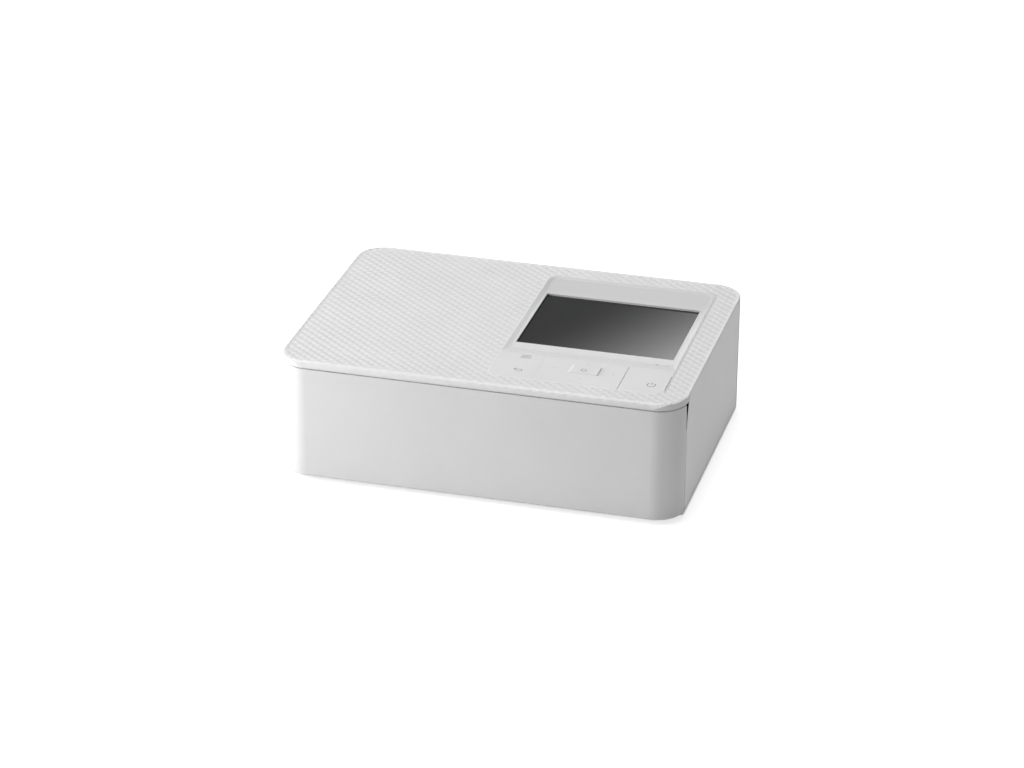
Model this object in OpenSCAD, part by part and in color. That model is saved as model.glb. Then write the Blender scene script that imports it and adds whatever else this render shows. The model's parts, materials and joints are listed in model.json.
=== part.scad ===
/* [Case] */
// Width of the case, left to right
body_w = 182.2; // [180:0.1:190]
// Depth of the case, front to rear
body_d = 133; // [131:0.5:138]
// Height from the table to the top face
body_h = 57.6; // [57:0.1:62]
// Radius of the four upright corners
corner_r = 13; // [11:0.5:15]
// Wall of the moulded shells
wall = 2.2; // [1.8:0.1:2.5]
// Height of the top cover's front edge
rim_h = 2.8; // [2.7:0.1:3.4]
// Rounding of the top cover's front edge
front_round = 2.6; // [1:0.1:2.7]
// Height of the top cover's edge along the sides and the rear
edge_t = 0.8; // [0.7:0.1:1.2]
// Rounding of the top edge along the sides and the rear
edge_round = 0.4; // [0.2:0.1:0.6]
// Thickness of the lip by which the side and rear shells cover the top cover's rebate
lip_t = 0.6; // [0.5:0.1:0.8]
// Gap round that lip
lip_gap = 0.1; // [0.1:0.01:0.15]
// Height of the rubber feet below the case
foot_h = 2; // [1.8:0.1:2.5]
// Thickness of the base and height of its edge band
floor_t = 2; // [1.8:0.1:2.4]
// Visible gap between neighbouring shells
seam = 0.3; // [0.25:0.05:0.4]
// Plate thickness of the top cover
top_t = 2; // [1.8:0.1:2.2]

/* [Control panel] */
// Left edge of the smooth panel, from the middle of the case
panel_x = 1.8; // [0:0.1:4]
// Distance from the smooth panel to the case's right face
panel_side = 11.1; // [9.5:0.1:11.8]
// Distance from the panel to the front and rear edges
panel_inset = 11; // [10:0.5:13]
// Corner radius of the smooth panel
panel_r = 5; // [3:0.5:6]
// Depth of the sunken screen area
recess = 0.6; // [0.4:0.1:0.8]
// Width of the slope round the sunken area
recess_slope = 2; // [1.5:0.1:3]
// Length of the slope from the screen area up to the keys
ramp_d = 6; // [4:0.5:6.5]
// Depth of the key strip, front to rear
key_d = 23.5; // [22:0.5:24]
// Distance from the screen window to the panel's sides
screen_side = 3.4; // [3:0.1:5]
// Distance from the key strip to the screen window
screen_gap = 13; // [12:0.5:18]
// Distance from the screen window's rear edge to the panel's rear edge
screen_back = 19.5; // [17:0.5:20]
// Step from the sunken area down to the glass
screen_drop = 0.8; // [0.6:0.1:1]
// Depth of the bed for the patterned skin round the panel
skin_t = 0.4; // [0.3:0.05:0.45]
// Distance from the patterned skin to the cover's sides and rear edge
skin_edge = 0.6; // [0.5:0.1:3]
// Distance from the patterned skin to the cover's front edge
skin_front = 4; // [3:0.1:6]

/* [Keys] */
// Travel of a key
key_travel = 0.4; // [0.3:0.05:0.5]
// Gap between a key and the cover
key_gap = 0.05; // [0.05:0.01:0.1]
// Width of the slits on both sides of the power key
power_slit = 0.25; // [0.2:0.05:0.4]
// Width of the menu and back key
menu_w = 20.2; // [18:0.1:22]
// Width of the power key
power_w = 20.1; // [18:0.1:22]
// Width of the raised centre key
ok_w = 13.8; // [12:0.1:16]
// Depth of the raised centre key
ok_d = 8; // [7:0.1:9]
// Height of the centre key above the strip
ok_h = 0.5; // [0.3:0.1:0.8]
// Width of the slope at the centre key's left end
ok_slope = 1.7; // [1:0.1:2.5]

/* [Front cover] */
// Distance that the cover wraps round the corners
wrap_d = 11; // [10:0.5:12]
// Distance from the front face back to the cover's hinge axis
cover_axis_in = 4.9; // [4.8:0.1:5.2]
// Height of the cover's hinge axis
cover_axis_z = 6.8; // [6.7:0.1:7.4]
// Radius of the hinge knuckles
knuckle_r = 2.2; // [2:0.1:2.3]
// Radius of the hinge pins
pin_r = 1.1; // [1:0.1:1.3]
// Height of the finger notch
notch_h = 13; // [10:0.5:16]
// Width that the finger notch takes off the front cover
notch_front = 0.5; // [0.3:0.1:1]
// Width that the finger notch takes off the side cover
notch_side = 2.8; // [2:0.1:3.2]
// Rounding of the front cover's top edge
cover_lip = 0.5; // [0.3:0.1:0.8]

/* [Side cover] */
// Radius of the side cover's rear edge, which turns about its own centre
side_edge_r = 2.3; // [2:0.1:2.5]
// Radius of the pivot pins
pivot_r = 1.1; // [0.9:0.1:1.2]
// Length of the pivot pins
pivot_l = 1.8; // [1.4:0.1:1.9]

/* [Paper path] */
// Distance from the paper up to the display's bracket
paper_drop = 25.6; // [25.1:0.1:26.1]
// Height of the gap at the paper's rear outlet
outlet_h = 5; // [4.8:0.1:6]
// Distance from the case's left face to the bay between the two side frames
bay_left = 53.1; // [52.6:0.1:54]
// Distance from the bay to the case's right face
bay_right = 9.1; // [9:0.1:10]
// Thickness of the steel side frames
frame_t = 1.5; // [1:0.1:2]
// Radius of the steel feed roller
grip_r = 4; // [3.5:0.1:4.2]
// Radius of the pinch roller
pinch_r = 3.5; // [3:0.1:3.8]
// Radius of the platen roller
platen_r = 6.5; // [6:0.1:7]
// Distance from the feed roller to the platen
platen_y = 31; // [30:0.5:31.5]
// Width of each pickup tyre
tyre_w = 10; // [6:0.5:14]
// Radius of the roller shafts
shaft_r = 2.5; // [2:0.1:2.8]
// Running clearance of shafts and pins, on the radius
run_gap = 0.05; // [0.03:0.01:0.08]

/* [Ribbon] */
// Outer radius of the two tubes of the ribbon cassette
tube_r = 9.5; // [9.3:0.1:9.6]
// Wall of the ribbon cassette
tube_wall = 1.2; // [1:0.1:1.4]
// Distance between the two spools
spool_pitch = 32; // [31.5:0.1:33]
// Radius of the spool cores
core_r = 4.2; // [3.8:0.1:4.6]
// Radius of the full roll of film
supply_r = 7; // [6:0.1:7.4]
// Radius of the roll of used film
used_r = 5.5; // [5:0.1:6.5]

/* [Gears] */
// Module of all gears
gear_m = 0.5; // [0.49:0.005:0.505]
// Pressure angle
gear_pa = 20; // [18:1:22]
// Play between meshing teeth
backlash = 0.1; // [0.08:0.01:0.14]
// Width of the gears
gear_w = 3; // [2:0.1:3.4]
// Teeth on the feed roller's gear
grip_teeth = 36; // [35:1:37]
// Teeth on the pickup roller's gear
pickup_teeth = 36; // [35:1:37]
// Teeth on the motor's pinion
pinion_teeth = 14; // [13:1:16]
// Teeth on each idler gear
idler_teeth = 22; // [22:1:23]
// Teeth on the take-up spool's gear
take_up_teeth = 40; // [38:1:41]

/* [Electronics] */
// Thickness of the circuit boards
board_t = 1.6; // [1.2:0.1:2]
// Thickness of the display module
lcd_t = 3.3; // [3:0.1:3.6]
// Gap between the feed motor and the base's ribs, which sets the motor's radius
motor_gap = 0.1; // [0.1:0.1:1.5]
// Length of the feed motor
motor_l = 30; // [24:0.5:34]

/* [Hidden] */
$fn = 48;

// Heights of the shells
base_z = foot_h;
deck_z = base_z + floor_t;
panel_z0 = deck_z + seam;
rim_z = body_h - rim_h;
panel_z1 = rim_z - seam;
lip_z1 = body_h - edge_t - lip_gap;
under_z = body_h - top_t;
eps = 0.01;

// Faces of the walls
half_w = body_w / 2;
half_d = body_d / 2;
inner_x = half_w - wall;
inner_y = half_d - wall;
front_seam = -half_d + wrap_d;
rear_seam = half_d - wrap_d;

// Control panel
panel_y0 = -half_d + panel_inset;
panel_y1 = half_d - panel_inset;
panel_x1 = half_w - panel_side;
recess_z = body_h - recess;
glass_z = recess_z - screen_drop;
keys_y1 = panel_y0 + key_d;
screen_x0 = panel_x + screen_side;
screen_x1 = panel_x1 - screen_side;
screen_y0 = keys_y1 + screen_gap;
screen_y1 = panel_y1 - screen_back;
ramp_y0 = keys_y1 + 1;
ramp_y1 = ramp_y0 + ramp_d;

// Keys
key_top = body_h;
flange_t = 0.9;
flange_out = 1.1;
flange_z1 = under_z - 0.1;
flange_z0 = flange_z1 - flange_t;
power_x0 = panel_x1 - power_w;
menu_x1 = panel_x + menu_w;
ok_shift = 0.95;
ok_x = (menu_x1 + power_x0) / 2 + ok_shift;
ok_y = panel_y0 + 14.2;
switch_top = flange_z0 - key_travel - 0.5;
switch_h = 1.8;
key_board_z = switch_top - switch_h - board_t;
post_out = 4;
key_board_posts = [
    [panel_x - post_out, panel_y0 + 7], [panel_x - post_out, keys_y1 - 3],
    [menu_x1 + 9.8, keys_y1 + 3.4], [panel_x1 - 8, keys_y1 + 3.4]
];
plunger_inset = 5;
menu_spot = [panel_x + 12, keys_y1 - plunger_inset];
back_spot = [panel_x + 12, panel_y0 + 8];
nav_left_spot = [(menu_x1 + ok_x - ok_w / 2) / 2, ok_y];
nav_right_spot = [(power_x0 + ok_x + ok_w / 2) / 2, ok_y];
power_spot = [power_x0 + power_w / 2 + 3, panel_y0 + 8];

// Front cover
cover_y = -half_d + cover_axis_in;
cover_top_r = panel_z1 - cover_axis_z;
cover_tail_r = front_seam - cover_y;
cover_round = 1.4;
ear_x = half_w - 21.1;
ear_w = 4;
ear_gap = 0.3;
notch_z = panel_z1 - notch_h;

// Side cover
side_x = half_w - side_edge_r;
side_y = rear_seam - seam - side_edge_r;

// Display stack below the window
window_t = 1.4;
lcd_z1 = glass_z - window_t - 0.1;
lcd_z0 = lcd_z1 - lcd_t;
bracket_t = 0.8;
bracket_z = lcd_z0 - bracket_t;
bracket_out = 6.5;

// Paper path, in the plane of y and z
bay_x0 = -half_w + bay_left;
bay_x1 = half_w - bay_right;
bay_x = (bay_x0 + bay_x1) / 2;
bay_w = bay_x1 - bay_x0;
roll_half = bay_w / 2 - 6;
paper_half = bay_w / 2 - 9;
paper_z = bracket_z - paper_drop;
frame_y0 = -half_d + 22.5;
frame_y1 = inner_y - 6.3;
frame_top = bracket_z - 0.6;
rib_h = 1.2;
frame_z = deck_z + rib_h;
grip = [inner_y - 65.3, paper_z - grip_r];
frame_foot = 14;
frame_mid = 13;
frame_feet = [frame_y0 + frame_foot / 2, grip[0] + frame_mid, frame_y1 - frame_foot / 2];
frame_step = grip[0] - 25;
frame_screw_in = 2.2;
bar_t = 1;
rear_bar_z = paper_z - 7;
pinch = [grip[0], paper_z + 0.2 + pinch_r];
platen = [grip[0] + platen_y, paper_z - platen_r];
pickup_angle = 141;
pickup = grip + polar(gear_gap(grip_teeth, pickup_teeth), pickup_angle);
pickup_r = pickup[1] - paper_z - 0.3;
rail_z = frame_z + frame_t + 1.4;

// Ribbon cassette, in the plane of y and z
spool_z = paper_z + 2.5 + tube_r;
supply = [platen[0] - spool_pitch / 2, spool_z];
take_up = [platen[0] + spool_pitch / 2, spool_z];
head_pivot = [grip[0] - 5, spool_z + tube_r - 0.1];
head_plate_z = spool_z + tube_r + 0.4;
cassette_x0 = bay_x0 + 3;
cassette_x1 = bay_x1 + frame_t + 1.5;
guide_end = 3.3;
film_t = 0.15;
film_flat = 4.2;
film_z = paper_z + 0.25;
head_z = film_z + film_t + 0.25;
head_bar_h = 1;
carrier_h = 4;
film_x0 = bay_x - paper_half - 1;
film_x1 = bay_x + paper_half + 1;

// Gears, from the feed roller to the take-up spool
gear_x1 = bay_x0 - frame_t - 1.6;
gear_x0 = gear_x1 - gear_w;
pinion_angle = 200;
idler_front_angle = 12;
idler_rear_angle = 218;
motor_at = grip + polar(gear_gap(grip_teeth, pinion_teeth), pinion_angle);
motor_r = motor_at[1] - frame_z - motor_gap;
idler_front = grip + polar(gear_gap(grip_teeth, idler_teeth), idler_front_angle);
idler_rear = take_up + polar(gear_gap(take_up_teeth, idler_teeth), idler_rear_angle);
idler_middle = meet(idler_front, idler_rear, gear_gap(idler_teeth, idler_teeth));
grip_phase = 0;
pickup_phase = mesh_phase(grip_phase, grip_teeth, pickup_teeth, pickup_angle);
pinion_phase = mesh_phase(grip_phase, grip_teeth, pinion_teeth, pinion_angle);
idler_front_phase = mesh_phase(grip_phase, grip_teeth, idler_teeth, idler_front_angle);
idler_middle_phase = mesh_phase(idler_front_phase, idler_teeth, idler_teeth,
    heading(idler_front, idler_middle));
idler_rear_phase = mesh_phase(idler_middle_phase, idler_teeth, idler_teeth,
    heading(idler_middle, idler_rear));
take_up_phase = mesh_phase(idler_rear_phase, idler_teeth, take_up_teeth,
    heading(idler_rear, take_up));
stud_r = 1.5;

// Boards and sockets
board_z = deck_z + 5;
board_x0 = -inner_x + 2.2;
board_x1 = bay_x0 - frame_t - 7.5;
board_y1 = inner_y - 6.8;
board_y0 = motor_at[0] + motor_r - 1.2;
sd_y = board_y1 - 19.5;
usb_a_y = sd_y - 24;
usb_c_y = usb_a_y - 11.5;
sd_size = [25, 3];
sd_depth = 24;
usb_a_size = [13.1, 5.7];
usb_a_depth = 14;
usb_c_size = [9, 3.3];
usb_c_depth = 8;
tongue_gap = 1;
jack_x = board_x0 + 22;
motor_x1 = gear_x0 - 2.5;
motor_x0 = motor_x1 - motor_l;

// Screws
screw_r = 1.3;
boss_r = 3;
post_places = [
    [-half_w + 6.6, -half_d + 18], [half_w - 6.6, -half_d + 18],
    [-half_w + 11.9, half_d - 5.3], [half_w - 11.9, half_d - 5.3]
];

// Feet
foot_r = 6;
foot_in = 22;
foot_places = [
    for (x = [-half_w + foot_in, half_w - foot_in], y = [-half_d + foot_in, half_d - foot_in]) [x, y]
];

// A point at a distance and an angle
function polar(r, a) = [r * cos(a), r * sin(a)];
// The direction from one point to another
function heading(p, q) = atan2(q[1] - p[1], q[0] - p[0]);
// The distance between the centres of two meshing gears
function gear_gap(n, k) = gear_m * (n + k) / 2;
// The lower of the two points that lie at one distance from both others
function meet(p, q, r) =
    let (half = norm(q - p) / 2, rise = sqrt(r * r - half * half), a = heading(p, q))
    (p + q) / 2 + polar(rise, a - 90);
// The angle of a gear's first tooth so that it meshes with its driver
function mesh_phase(first, n, k, a) = a + 180 + (a - first) * n / k + 180 / k;
// One point of a tooth's flank: the angle that the involute has gained at a roll angle
function involute_gain(roll) = roll - atan(roll * PI / 180);

// A box between two corners
module block(lo, hi) {
    translate(lo) cube(hi - lo);
}

// A round rod along x
module x_rod(x0, x1, at, r) {
    translate([x0, at[0], at[1]]) rotate([0, 90, 0]) cylinder(h = x1 - x0, r = r);
}

// An outline of the plane of y and z, extruded along x
module along_x(x0, x1) {
    translate([x0, 0, 0]) rotate([90, 0, 90]) linear_extrude(x1 - x0) children();
}

// An upright round rod
module z_rod(x, y, z0, z1, r) {
    translate([x, y, z0]) cylinder(h = z1 - z0, r = r);
}

// A rectangle with round corners
module rounded_plan(w, d, r) {
    square([w - 2 * r, d], center = true);
    square([w, d - 2 * r], center = true);
    for (x = [-1, 1], y = [-1, 1]) {
        translate([x * (w / 2 - r), y * (d / 2 - r)]) circle(r);
    }
}

// The same rectangle given by its edges
module plan_box(x0, x1, y0, y1, r) {
    translate([(x0 + x1) / 2, (y0 + y1) / 2]) rounded_plan(x1 - x0, y1 - y0, r);
}

// Section through an edge with a round top
module edge_section(r, h, round_r) {
    intersection() {
        square([r, h]);
        union() {
            square([r - round_r, h]);
            square([r, h - round_r]);
            translate([r - round_r, h - round_r]) circle(round_r);
        }
    }
}

// A slab with round upright corners and a round top edge
module soft_slab(w, d, r, h, round_r) {
    translate([-w / 2 + r, -d / 2 + r, 0]) cube([w - 2 * r, d - 2 * r, h]);
    for (side = [0, 1]) {
        mirror([0, side, 0]) translate([-w / 2 + r, d / 2 - r, 0]) rotate([90, 0, 90])
            linear_extrude(w - 2 * r) edge_section(r, h, round_r);
        mirror([side, 0, 0]) translate([w / 2 - r, d / 2 - r, 0]) rotate([90, 0, 0])
            linear_extrude(d - 2 * r) edge_section(r, h, round_r);
        for (end = [0, 1]) {
            mirror([side, 0, 0]) mirror([0, end, 0]) translate([w / 2 - r, d / 2 - r, 0])
                rotate_extrude(angle = 90) edge_section(r, h, round_r);
        }
    }
}

// The case's outline between two heights, drawn in by a distance
module case_prism(z0, z1, inset) {
    translate([0, 0, z0]) linear_extrude(z1 - z0)
        rounded_plan(body_w - 2 * inset, body_d - 2 * inset, corner_r - inset);
}

// A band of the case's wall, from one inset to another
module case_band(z0, z1, outer, inner) {
    difference() {
        case_prism(z0, z1, outer);
        case_prism(z0 - 1, z1 + 1, inner);
    }
}

// The lip of a shell, along the part of the outline between two corners
module shell_lip(lo, hi) {
    intersection() {
        case_band(panel_z1 - eps, lip_z1, 0, lip_t);
        block([lo[0], lo[1], 0], [hi[0], hi[1], body_h]);
    }
}

// Everything below a large rounding along the front edge
module below_front_round() {
    along_x(-half_w - 1, half_w + 1) {
        translate([-half_d, 0]) square([body_d + 1, body_h - front_round]);
        translate([-half_d + front_round, 0]) square([body_d, body_h]);
        translate([-half_d + front_round, body_h - front_round]) circle(front_round);
    }
}

// The teeth and body of a gear, flat
module gear_plan(teeth, phase) {
    pitch = gear_m * teeth / 2;
    base = pitch * cos(gear_pa);
    tip = pitch + 0.9 * gear_m;
    root = pitch - 1.2 * gear_m;
    roll_tip = 180 / PI * sqrt(pow(tip / base, 2) - 1);
    play = backlash / 2 / pitch * 90 / PI;
    half = 90 / teeth - play + 180 / PI * tan(gear_pa) - gear_pa;
    steps = 3;
    flank = [for (i = [0:steps])
        let (roll = roll_tip * i / steps, r = base * sqrt(1 + pow(roll * PI / 180, 2)))
        [r, half - involute_gain(roll)]];
    polygon([for (tooth = [0:teeth - 1])
        let (mid = phase + 360 * tooth / teeth)
        each concat(
            [polar(root, mid - half)],
            [for (i = [0:steps]) polar(flank[i][0], mid - flank[i][1])],
            [for (i = [steps:-1:0]) polar(flank[i][0], mid + flank[i][1])],
            [polar(root, mid + half)]
        )]);
}

// A moulded gear with a hub and a thin web
module gear(teeth, phase, at, bore) {
    pitch = gear_m * teeth / 2;
    web = 0.8;
    hub = bore + 1.4;
    rim = pitch - 1.2 * gear_m - 1.1;
    along_x(gear_x0, gear_x1) {
        difference() {
            translate(at) gear_plan(teeth, phase);
            translate(at) circle(rim);
        }
    }
    mid_x = (gear_x0 + gear_x1) / 2;
    along_x(mid_x - web / 2, mid_x + web / 2) {
        difference() {
            translate(at) circle(rim + 0.2);
            translate(at) circle(bore);
        }
    }
    along_x(gear_x0 - 0.4, gear_x1 + 0.4) {
        difference() {
            translate(at) circle(hub);
            translate(at) circle(bore);
        }
    }
}

// A pan head screw that points up, with a cross recess
module screw_up(x, y, z, length) {
    head_h = 1.4;
    difference() {
        union() {
            z_rod(x, y, z, z + head_h, 2.4);
            z_rod(x, y, z + head_h - eps, z + head_h + length, screw_r - 0.02);
        }
        for (turn = [0, 90]) {
            translate([x, y, z]) rotate(turn) cube([2.6, 0.7, 1.4], center = true);
        }
    }
}

// The sunken area of the panel: flat inside, sloped at its edges
module panel_pocket() {
    slope_r = panel_r - recess_slope;
    intersection() {
        along_x(panel_x - 1, panel_x1 + 1) polygon([
            [ramp_y0, body_h], [ramp_y1, recess_z],
            [panel_y1 - recess_slope, recess_z], [panel_y1, body_h],
            [panel_y1, body_h + 1], [ramp_y0, body_h + 1]
        ]);
        translate([0, panel_y1 + 1, 0]) rotate([90, 0, 0]) linear_extrude(body_d) polygon([
            [panel_x, body_h], [panel_x + recess_slope, recess_z],
            [panel_x1 - recess_slope, recess_z], [panel_x1, body_h],
            [panel_x1, body_h + 1], [panel_x, body_h + 1]
        ]);
        union() {
            block([panel_x - 1, ramp_y0 - 1, recess_z - 1],
                [panel_x1 + 1, panel_y1 - panel_r, body_h + 2]);
            block([panel_x + panel_r, ramp_y0 - 1, recess_z - 1],
                [panel_x1 - panel_r, panel_y1 + 1, body_h + 2]);
        }
    }
    for (x = [panel_x + panel_r, panel_x1 - panel_r]) {
        translate([x, panel_y1 - panel_r, recess_z])
            cylinder(h = recess, r1 = slope_r, r2 = panel_r);
    }
}

// The shallow bed of the patterned skin: all of the top but the panel and the rim
module skin_bed() {
    translate([0, 0, body_h - skin_t]) linear_extrude(skin_t + 1) difference() {
        plan_box(-half_w + skin_edge, half_w - skin_edge,
            -half_d + skin_front, half_d - skin_edge, corner_r - skin_edge);
        plan_box(panel_x, panel_x1, panel_y0, panel_y1, panel_r);
    }
}

// The outline of the key strip, grown by a distance
module key_strip(grow, z0, z1) {
    translate([0, 0, z0]) linear_extrude(z1 - z0)
        plan_box(panel_x - grow, panel_x1 + grow, panel_y0 - grow, keys_y1 + grow, panel_r + grow);
}

// Lid with the rim, the sunken panel, the skirt and the bosses below
module top_cover() {
    skirt = wall + 0.15;
    skirt_t = 1.5;
    skirt_h = 2.4;
    rib_x0 = -half_w + 23.1;
    rib_x1 = panel_x - 15.8;
    color("whitesmoke") difference() {
        union() {
            difference() {
                intersection() {
                    translate([0, 0, rim_z])
                        soft_slab(body_w, body_d, corner_r, rim_h, edge_round);
                    below_front_round();
                }
                case_prism(rim_z - 1, under_z, skirt + skirt_t);
                lip_rebate();
            }
            intersection() {
                case_band(rim_z - skirt_h, rim_z + eps, skirt, skirt + skirt_t);
                block([-half_w, front_seam + 1.5, 0], [half_w - 8, half_d, body_h]);
            }
            for (at = post_places) {
                z_rod(at[0], at[1], rim_z - 14, under_z + eps, boss_r);
            }
            for (at = key_board_posts) {
                z_rod(at[0], at[1], key_board_z + board_t, under_z + eps, 2.2);
            }
            for (x = [panel_x - post_out, panel_x1 + post_out], y = [screen_y0 + 6, screen_y1 - 2]) {
                z_rod(x, y, lcd_z0, under_z + eps, 2.2);
            }
            for (y = [-half_d + 8, half_d - 8]) {
                block([-half_w + 18, y - 0.6, under_z - 2], [half_w - 22, y + 0.6, under_z + eps]);
            }
            for (i = [0:3]) {
                x = rib_x0 + i * (rib_x1 - rib_x0) / 3;
                block([x - 0.6, -half_d + 8, under_z - 2], [x + 0.6, half_d - 8, under_z + eps]);
            }
        }
        panel_pocket();
        skin_bed();
        key_strip(key_gap, under_z - 3, body_h + 1);
        translate([0, 0, under_z - 1]) linear_extrude(4)
            plan_box(screen_x0 - 0.1, screen_x1 + 0.1, screen_y0 - 0.1, screen_y1 + 0.1, 0.8);
        z_rod(side_x, side_y, rim_z - 1, panel_z1 + pivot_l + 0.1, pivot_r + run_gap);
        block([half_w - 5, front_seam, rim_z - 3],
            [half_w + 1, front_seam + seam + notch_side, body_h - 2 * skin_t - 0.4]);
        for (at = post_places) {
            z_rod(at[0], at[1], rim_z - 15, rim_z - 3, screw_r);
        }
    }
}

// Room for the shells' lips under the top cover's edge, and round the side cover's pivot
module lip_rebate() {
    top = body_h - edge_t;
    inset = lip_t + lip_gap;
    post_r = side_edge_r - inset;
    swing_r = norm([post_r, side_edge_r]) + lip_gap;
    difference() {
        case_band(rim_z - 1, top, -1, inset);
        block([-half_w - 2, -half_d - 2, 0], [half_w + 2, front_seam, body_h]);
    }
    difference() {
        z_rod(side_x, side_y, rim_z - 1, top, swing_r);
        z_rod(side_x, side_y, rim_z - 2, top + 1, post_r);
    }
}

// Tray with edge band, upstand, ribs, bosses, vents and the ears of the front hinge
module base_case() {
    stand_h = 3;
    front_y = front_seam + 0.9;
    rib_x = inner_x - 10.9;
    rib_y0 = -half_d + 24.5;
    rib_y1 = inner_y - 8.3;
    color("whitesmoke") difference() {
        union() {
            difference() {
                intersection() {
                    case_prism(base_z, deck_z, 0);
                    block([-half_w - 1, cover_y, 0], [half_w + 1, half_d + 1, body_h]);
                }
                x_rod(-half_w - 2, half_w + 2, [cover_y, cover_axis_z], cover_tail_r + seam);
            }
            difference() {
                case_band(deck_z - eps, deck_z + stand_h, wall + 0.15, wall + 1.65);
                block([-half_w, -half_d, 0], [half_w, front_y + 6, body_h]);
                z_rod(side_x, side_y, 0, body_h, side_edge_r + seam);
            }
            for (i = [-6:6]) {
                x = rib_x * i / 6;
                block([x - 0.6, front_y + 1, deck_z - eps], [x + 0.6, inner_y - 2, frame_z]);
            }
            for (i = [0:7]) {
                y = rib_y0 + i * (rib_y1 - rib_y0) / 7;
                block([-inner_x + 2, y - 0.6, deck_z - eps], [inner_x - 5, y + 0.6, frame_z]);
            }
            for (at = post_places) {
                z_rod(at[0], at[1], deck_z - eps, rim_z - 14, boss_r);
            }
            for (side = [-1, 1]) {
                hinge_ear(side * ear_x);
            }
            for (x = [board_x0 + 4, board_x1 - 4], y = [board_y0 + 4, board_y1 - 4]) {
                z_rod(x, y, deck_z - eps, board_z, 2.6);
            }
        }
        for (at = post_places) {
            z_rod(at[0], at[1], base_z - 1, rim_z - 13, screw_r + 0.2);
            z_rod(at[0], at[1], base_z - 1, base_z + 1.6, 2.7);
        }
        z_rod(side_x, side_y, panel_z0 - pivot_l - 0.1, deck_z + 1, pivot_r + run_gap);
        for (x = [board_x0 + 4, board_x1 - 4], y = [board_y0 + 4, board_y1 - 4]) {
            z_rod(x, y, deck_z, board_z + 1, 1);
        }
        for (at = foot_places) {
            z_rod(at[0], at[1], base_z - 1, base_z + 0.4, foot_r + 0.1);
        }
        for (x = [board_x0 + 8:5:board_x1 - 4], row = [0, 1]) {
            vent_y = board_y0 + 4.5 + row * 16;
            block([x, vent_y, base_z - 1], [x + 2, vent_y + 12, deck_z + 5 * eps]);
        }
        for (side = [-1, 1]) {
            x_rod(side * ear_x - ear_w, side * ear_x + ear_w, [cover_y, cover_axis_z],
                pin_r + run_gap);
        }
    }
}

// One ear of the front hinge, standing on the base
module hinge_ear(x) {
    along_x(x - ear_w / 2, x + ear_w / 2) {
        translate([cover_y, cover_axis_z]) circle(knuckle_r);
        translate([cover_y, cover_axis_z - 1.2]) square([12, knuckle_r + 1.2]);
        translate([front_seam + 1, deck_z - eps]) square([5, cover_axis_z - deck_z + 1]);
    }
}

// Front cover: face, wrapped corners, ribs and hinge knuckles
module front_cover() {
    axis = [cover_y, cover_axis_z];
    color("whitesmoke") difference() {
        union() {
            intersection() {
                difference() {
                    translate([0, 0, panel_z1]) mirror([0, 0, 1])
                        soft_slab(body_w, body_d, corner_r, panel_z1 - base_z, cover_round);
                    case_prism(base_z - 1, rim_z, wall);
                }
                translate([0, 0, base_z])
                    soft_slab(body_w, body_d, corner_r, panel_z1 - base_z, cover_lip);
                block([-half_w - 1, -half_d - 1, 0], [half_w + 1, front_seam, body_h]);
                x_rod(-half_w - 1, half_w + 1, axis, cover_top_r);
            }
            intersection() {
                case_band(deck_z + 6, panel_z1 - 4, wall - eps, wall + 1.4);
                union() {
                    for (z = [deck_z + 8, deck_z + 22, panel_z1 - 7]) {
                        block([-half_w, -half_d, z], [half_w, front_seam - 1.5, z + 1]);
                    }
                    for (i = [-3:3]) {
                        x = (ear_x - 10) * i / 3;
                        block([x - 0.5, -half_d, 0], [x + 0.5, -half_d + wall + 1.4, body_h]);
                    }
                }
            }
            for (side = [-1, 1], lug = [-1, 1]) {
                hinge_lug(side * ear_x + lug * (ear_w + ear_gap));
            }
        }
        difference() {
            block([-half_w - 1, cover_y, 0], [half_w + 1, 0, cover_axis_z]);
            x_rod(-half_w - 2, half_w + 2, axis, cover_tail_r);
        }
        notch_cut(front_seam, -1, notch_front);
        for (side = [-1, 1]) {
            x_rod(side * ear_x - 8, side * ear_x + 8, axis, pin_r + 0.02);
        }
    }
}

// One knuckle of the front cover, beside an ear
module hinge_lug(x) {
    along_x(x - ear_w / 2, x + ear_w / 2) {
        translate([cover_y, cover_axis_z]) circle(knuckle_r);
        translate([-half_d + wall - eps, cover_axis_z - knuckle_r])
            square([cover_axis_in - wall + eps, 2 * knuckle_r]);
    }
}

// What the finger notch takes off an upright edge, as wide as given at its top
module notch_cut(y, dir, w) {
    arc = (notch_h * notch_h + w * w) / (2 * w);
    intersection() {
        block([half_w - 8, y - w - 1, notch_z], [half_w + 1, y + w + 1, body_h]);
        difference() {
            block([half_w - 8, y - (dir < 0 ? w + 1 : 1), notch_z],
                [half_w + 1, y + (dir < 0 ? 1 : w + 1), body_h]);
            x_rod(half_w - 9, half_w + 2, [y + dir * arc, notch_z], arc);
        }
    }
}

// Two pins of the front hinge
module cover_pins() {
    color("silver") for (side = [-1, 1]) {
        x_rod(side * ear_x - 6.2, side * ear_x + 6.2, [cover_y, cover_axis_z], pin_r);
    }
}

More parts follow.
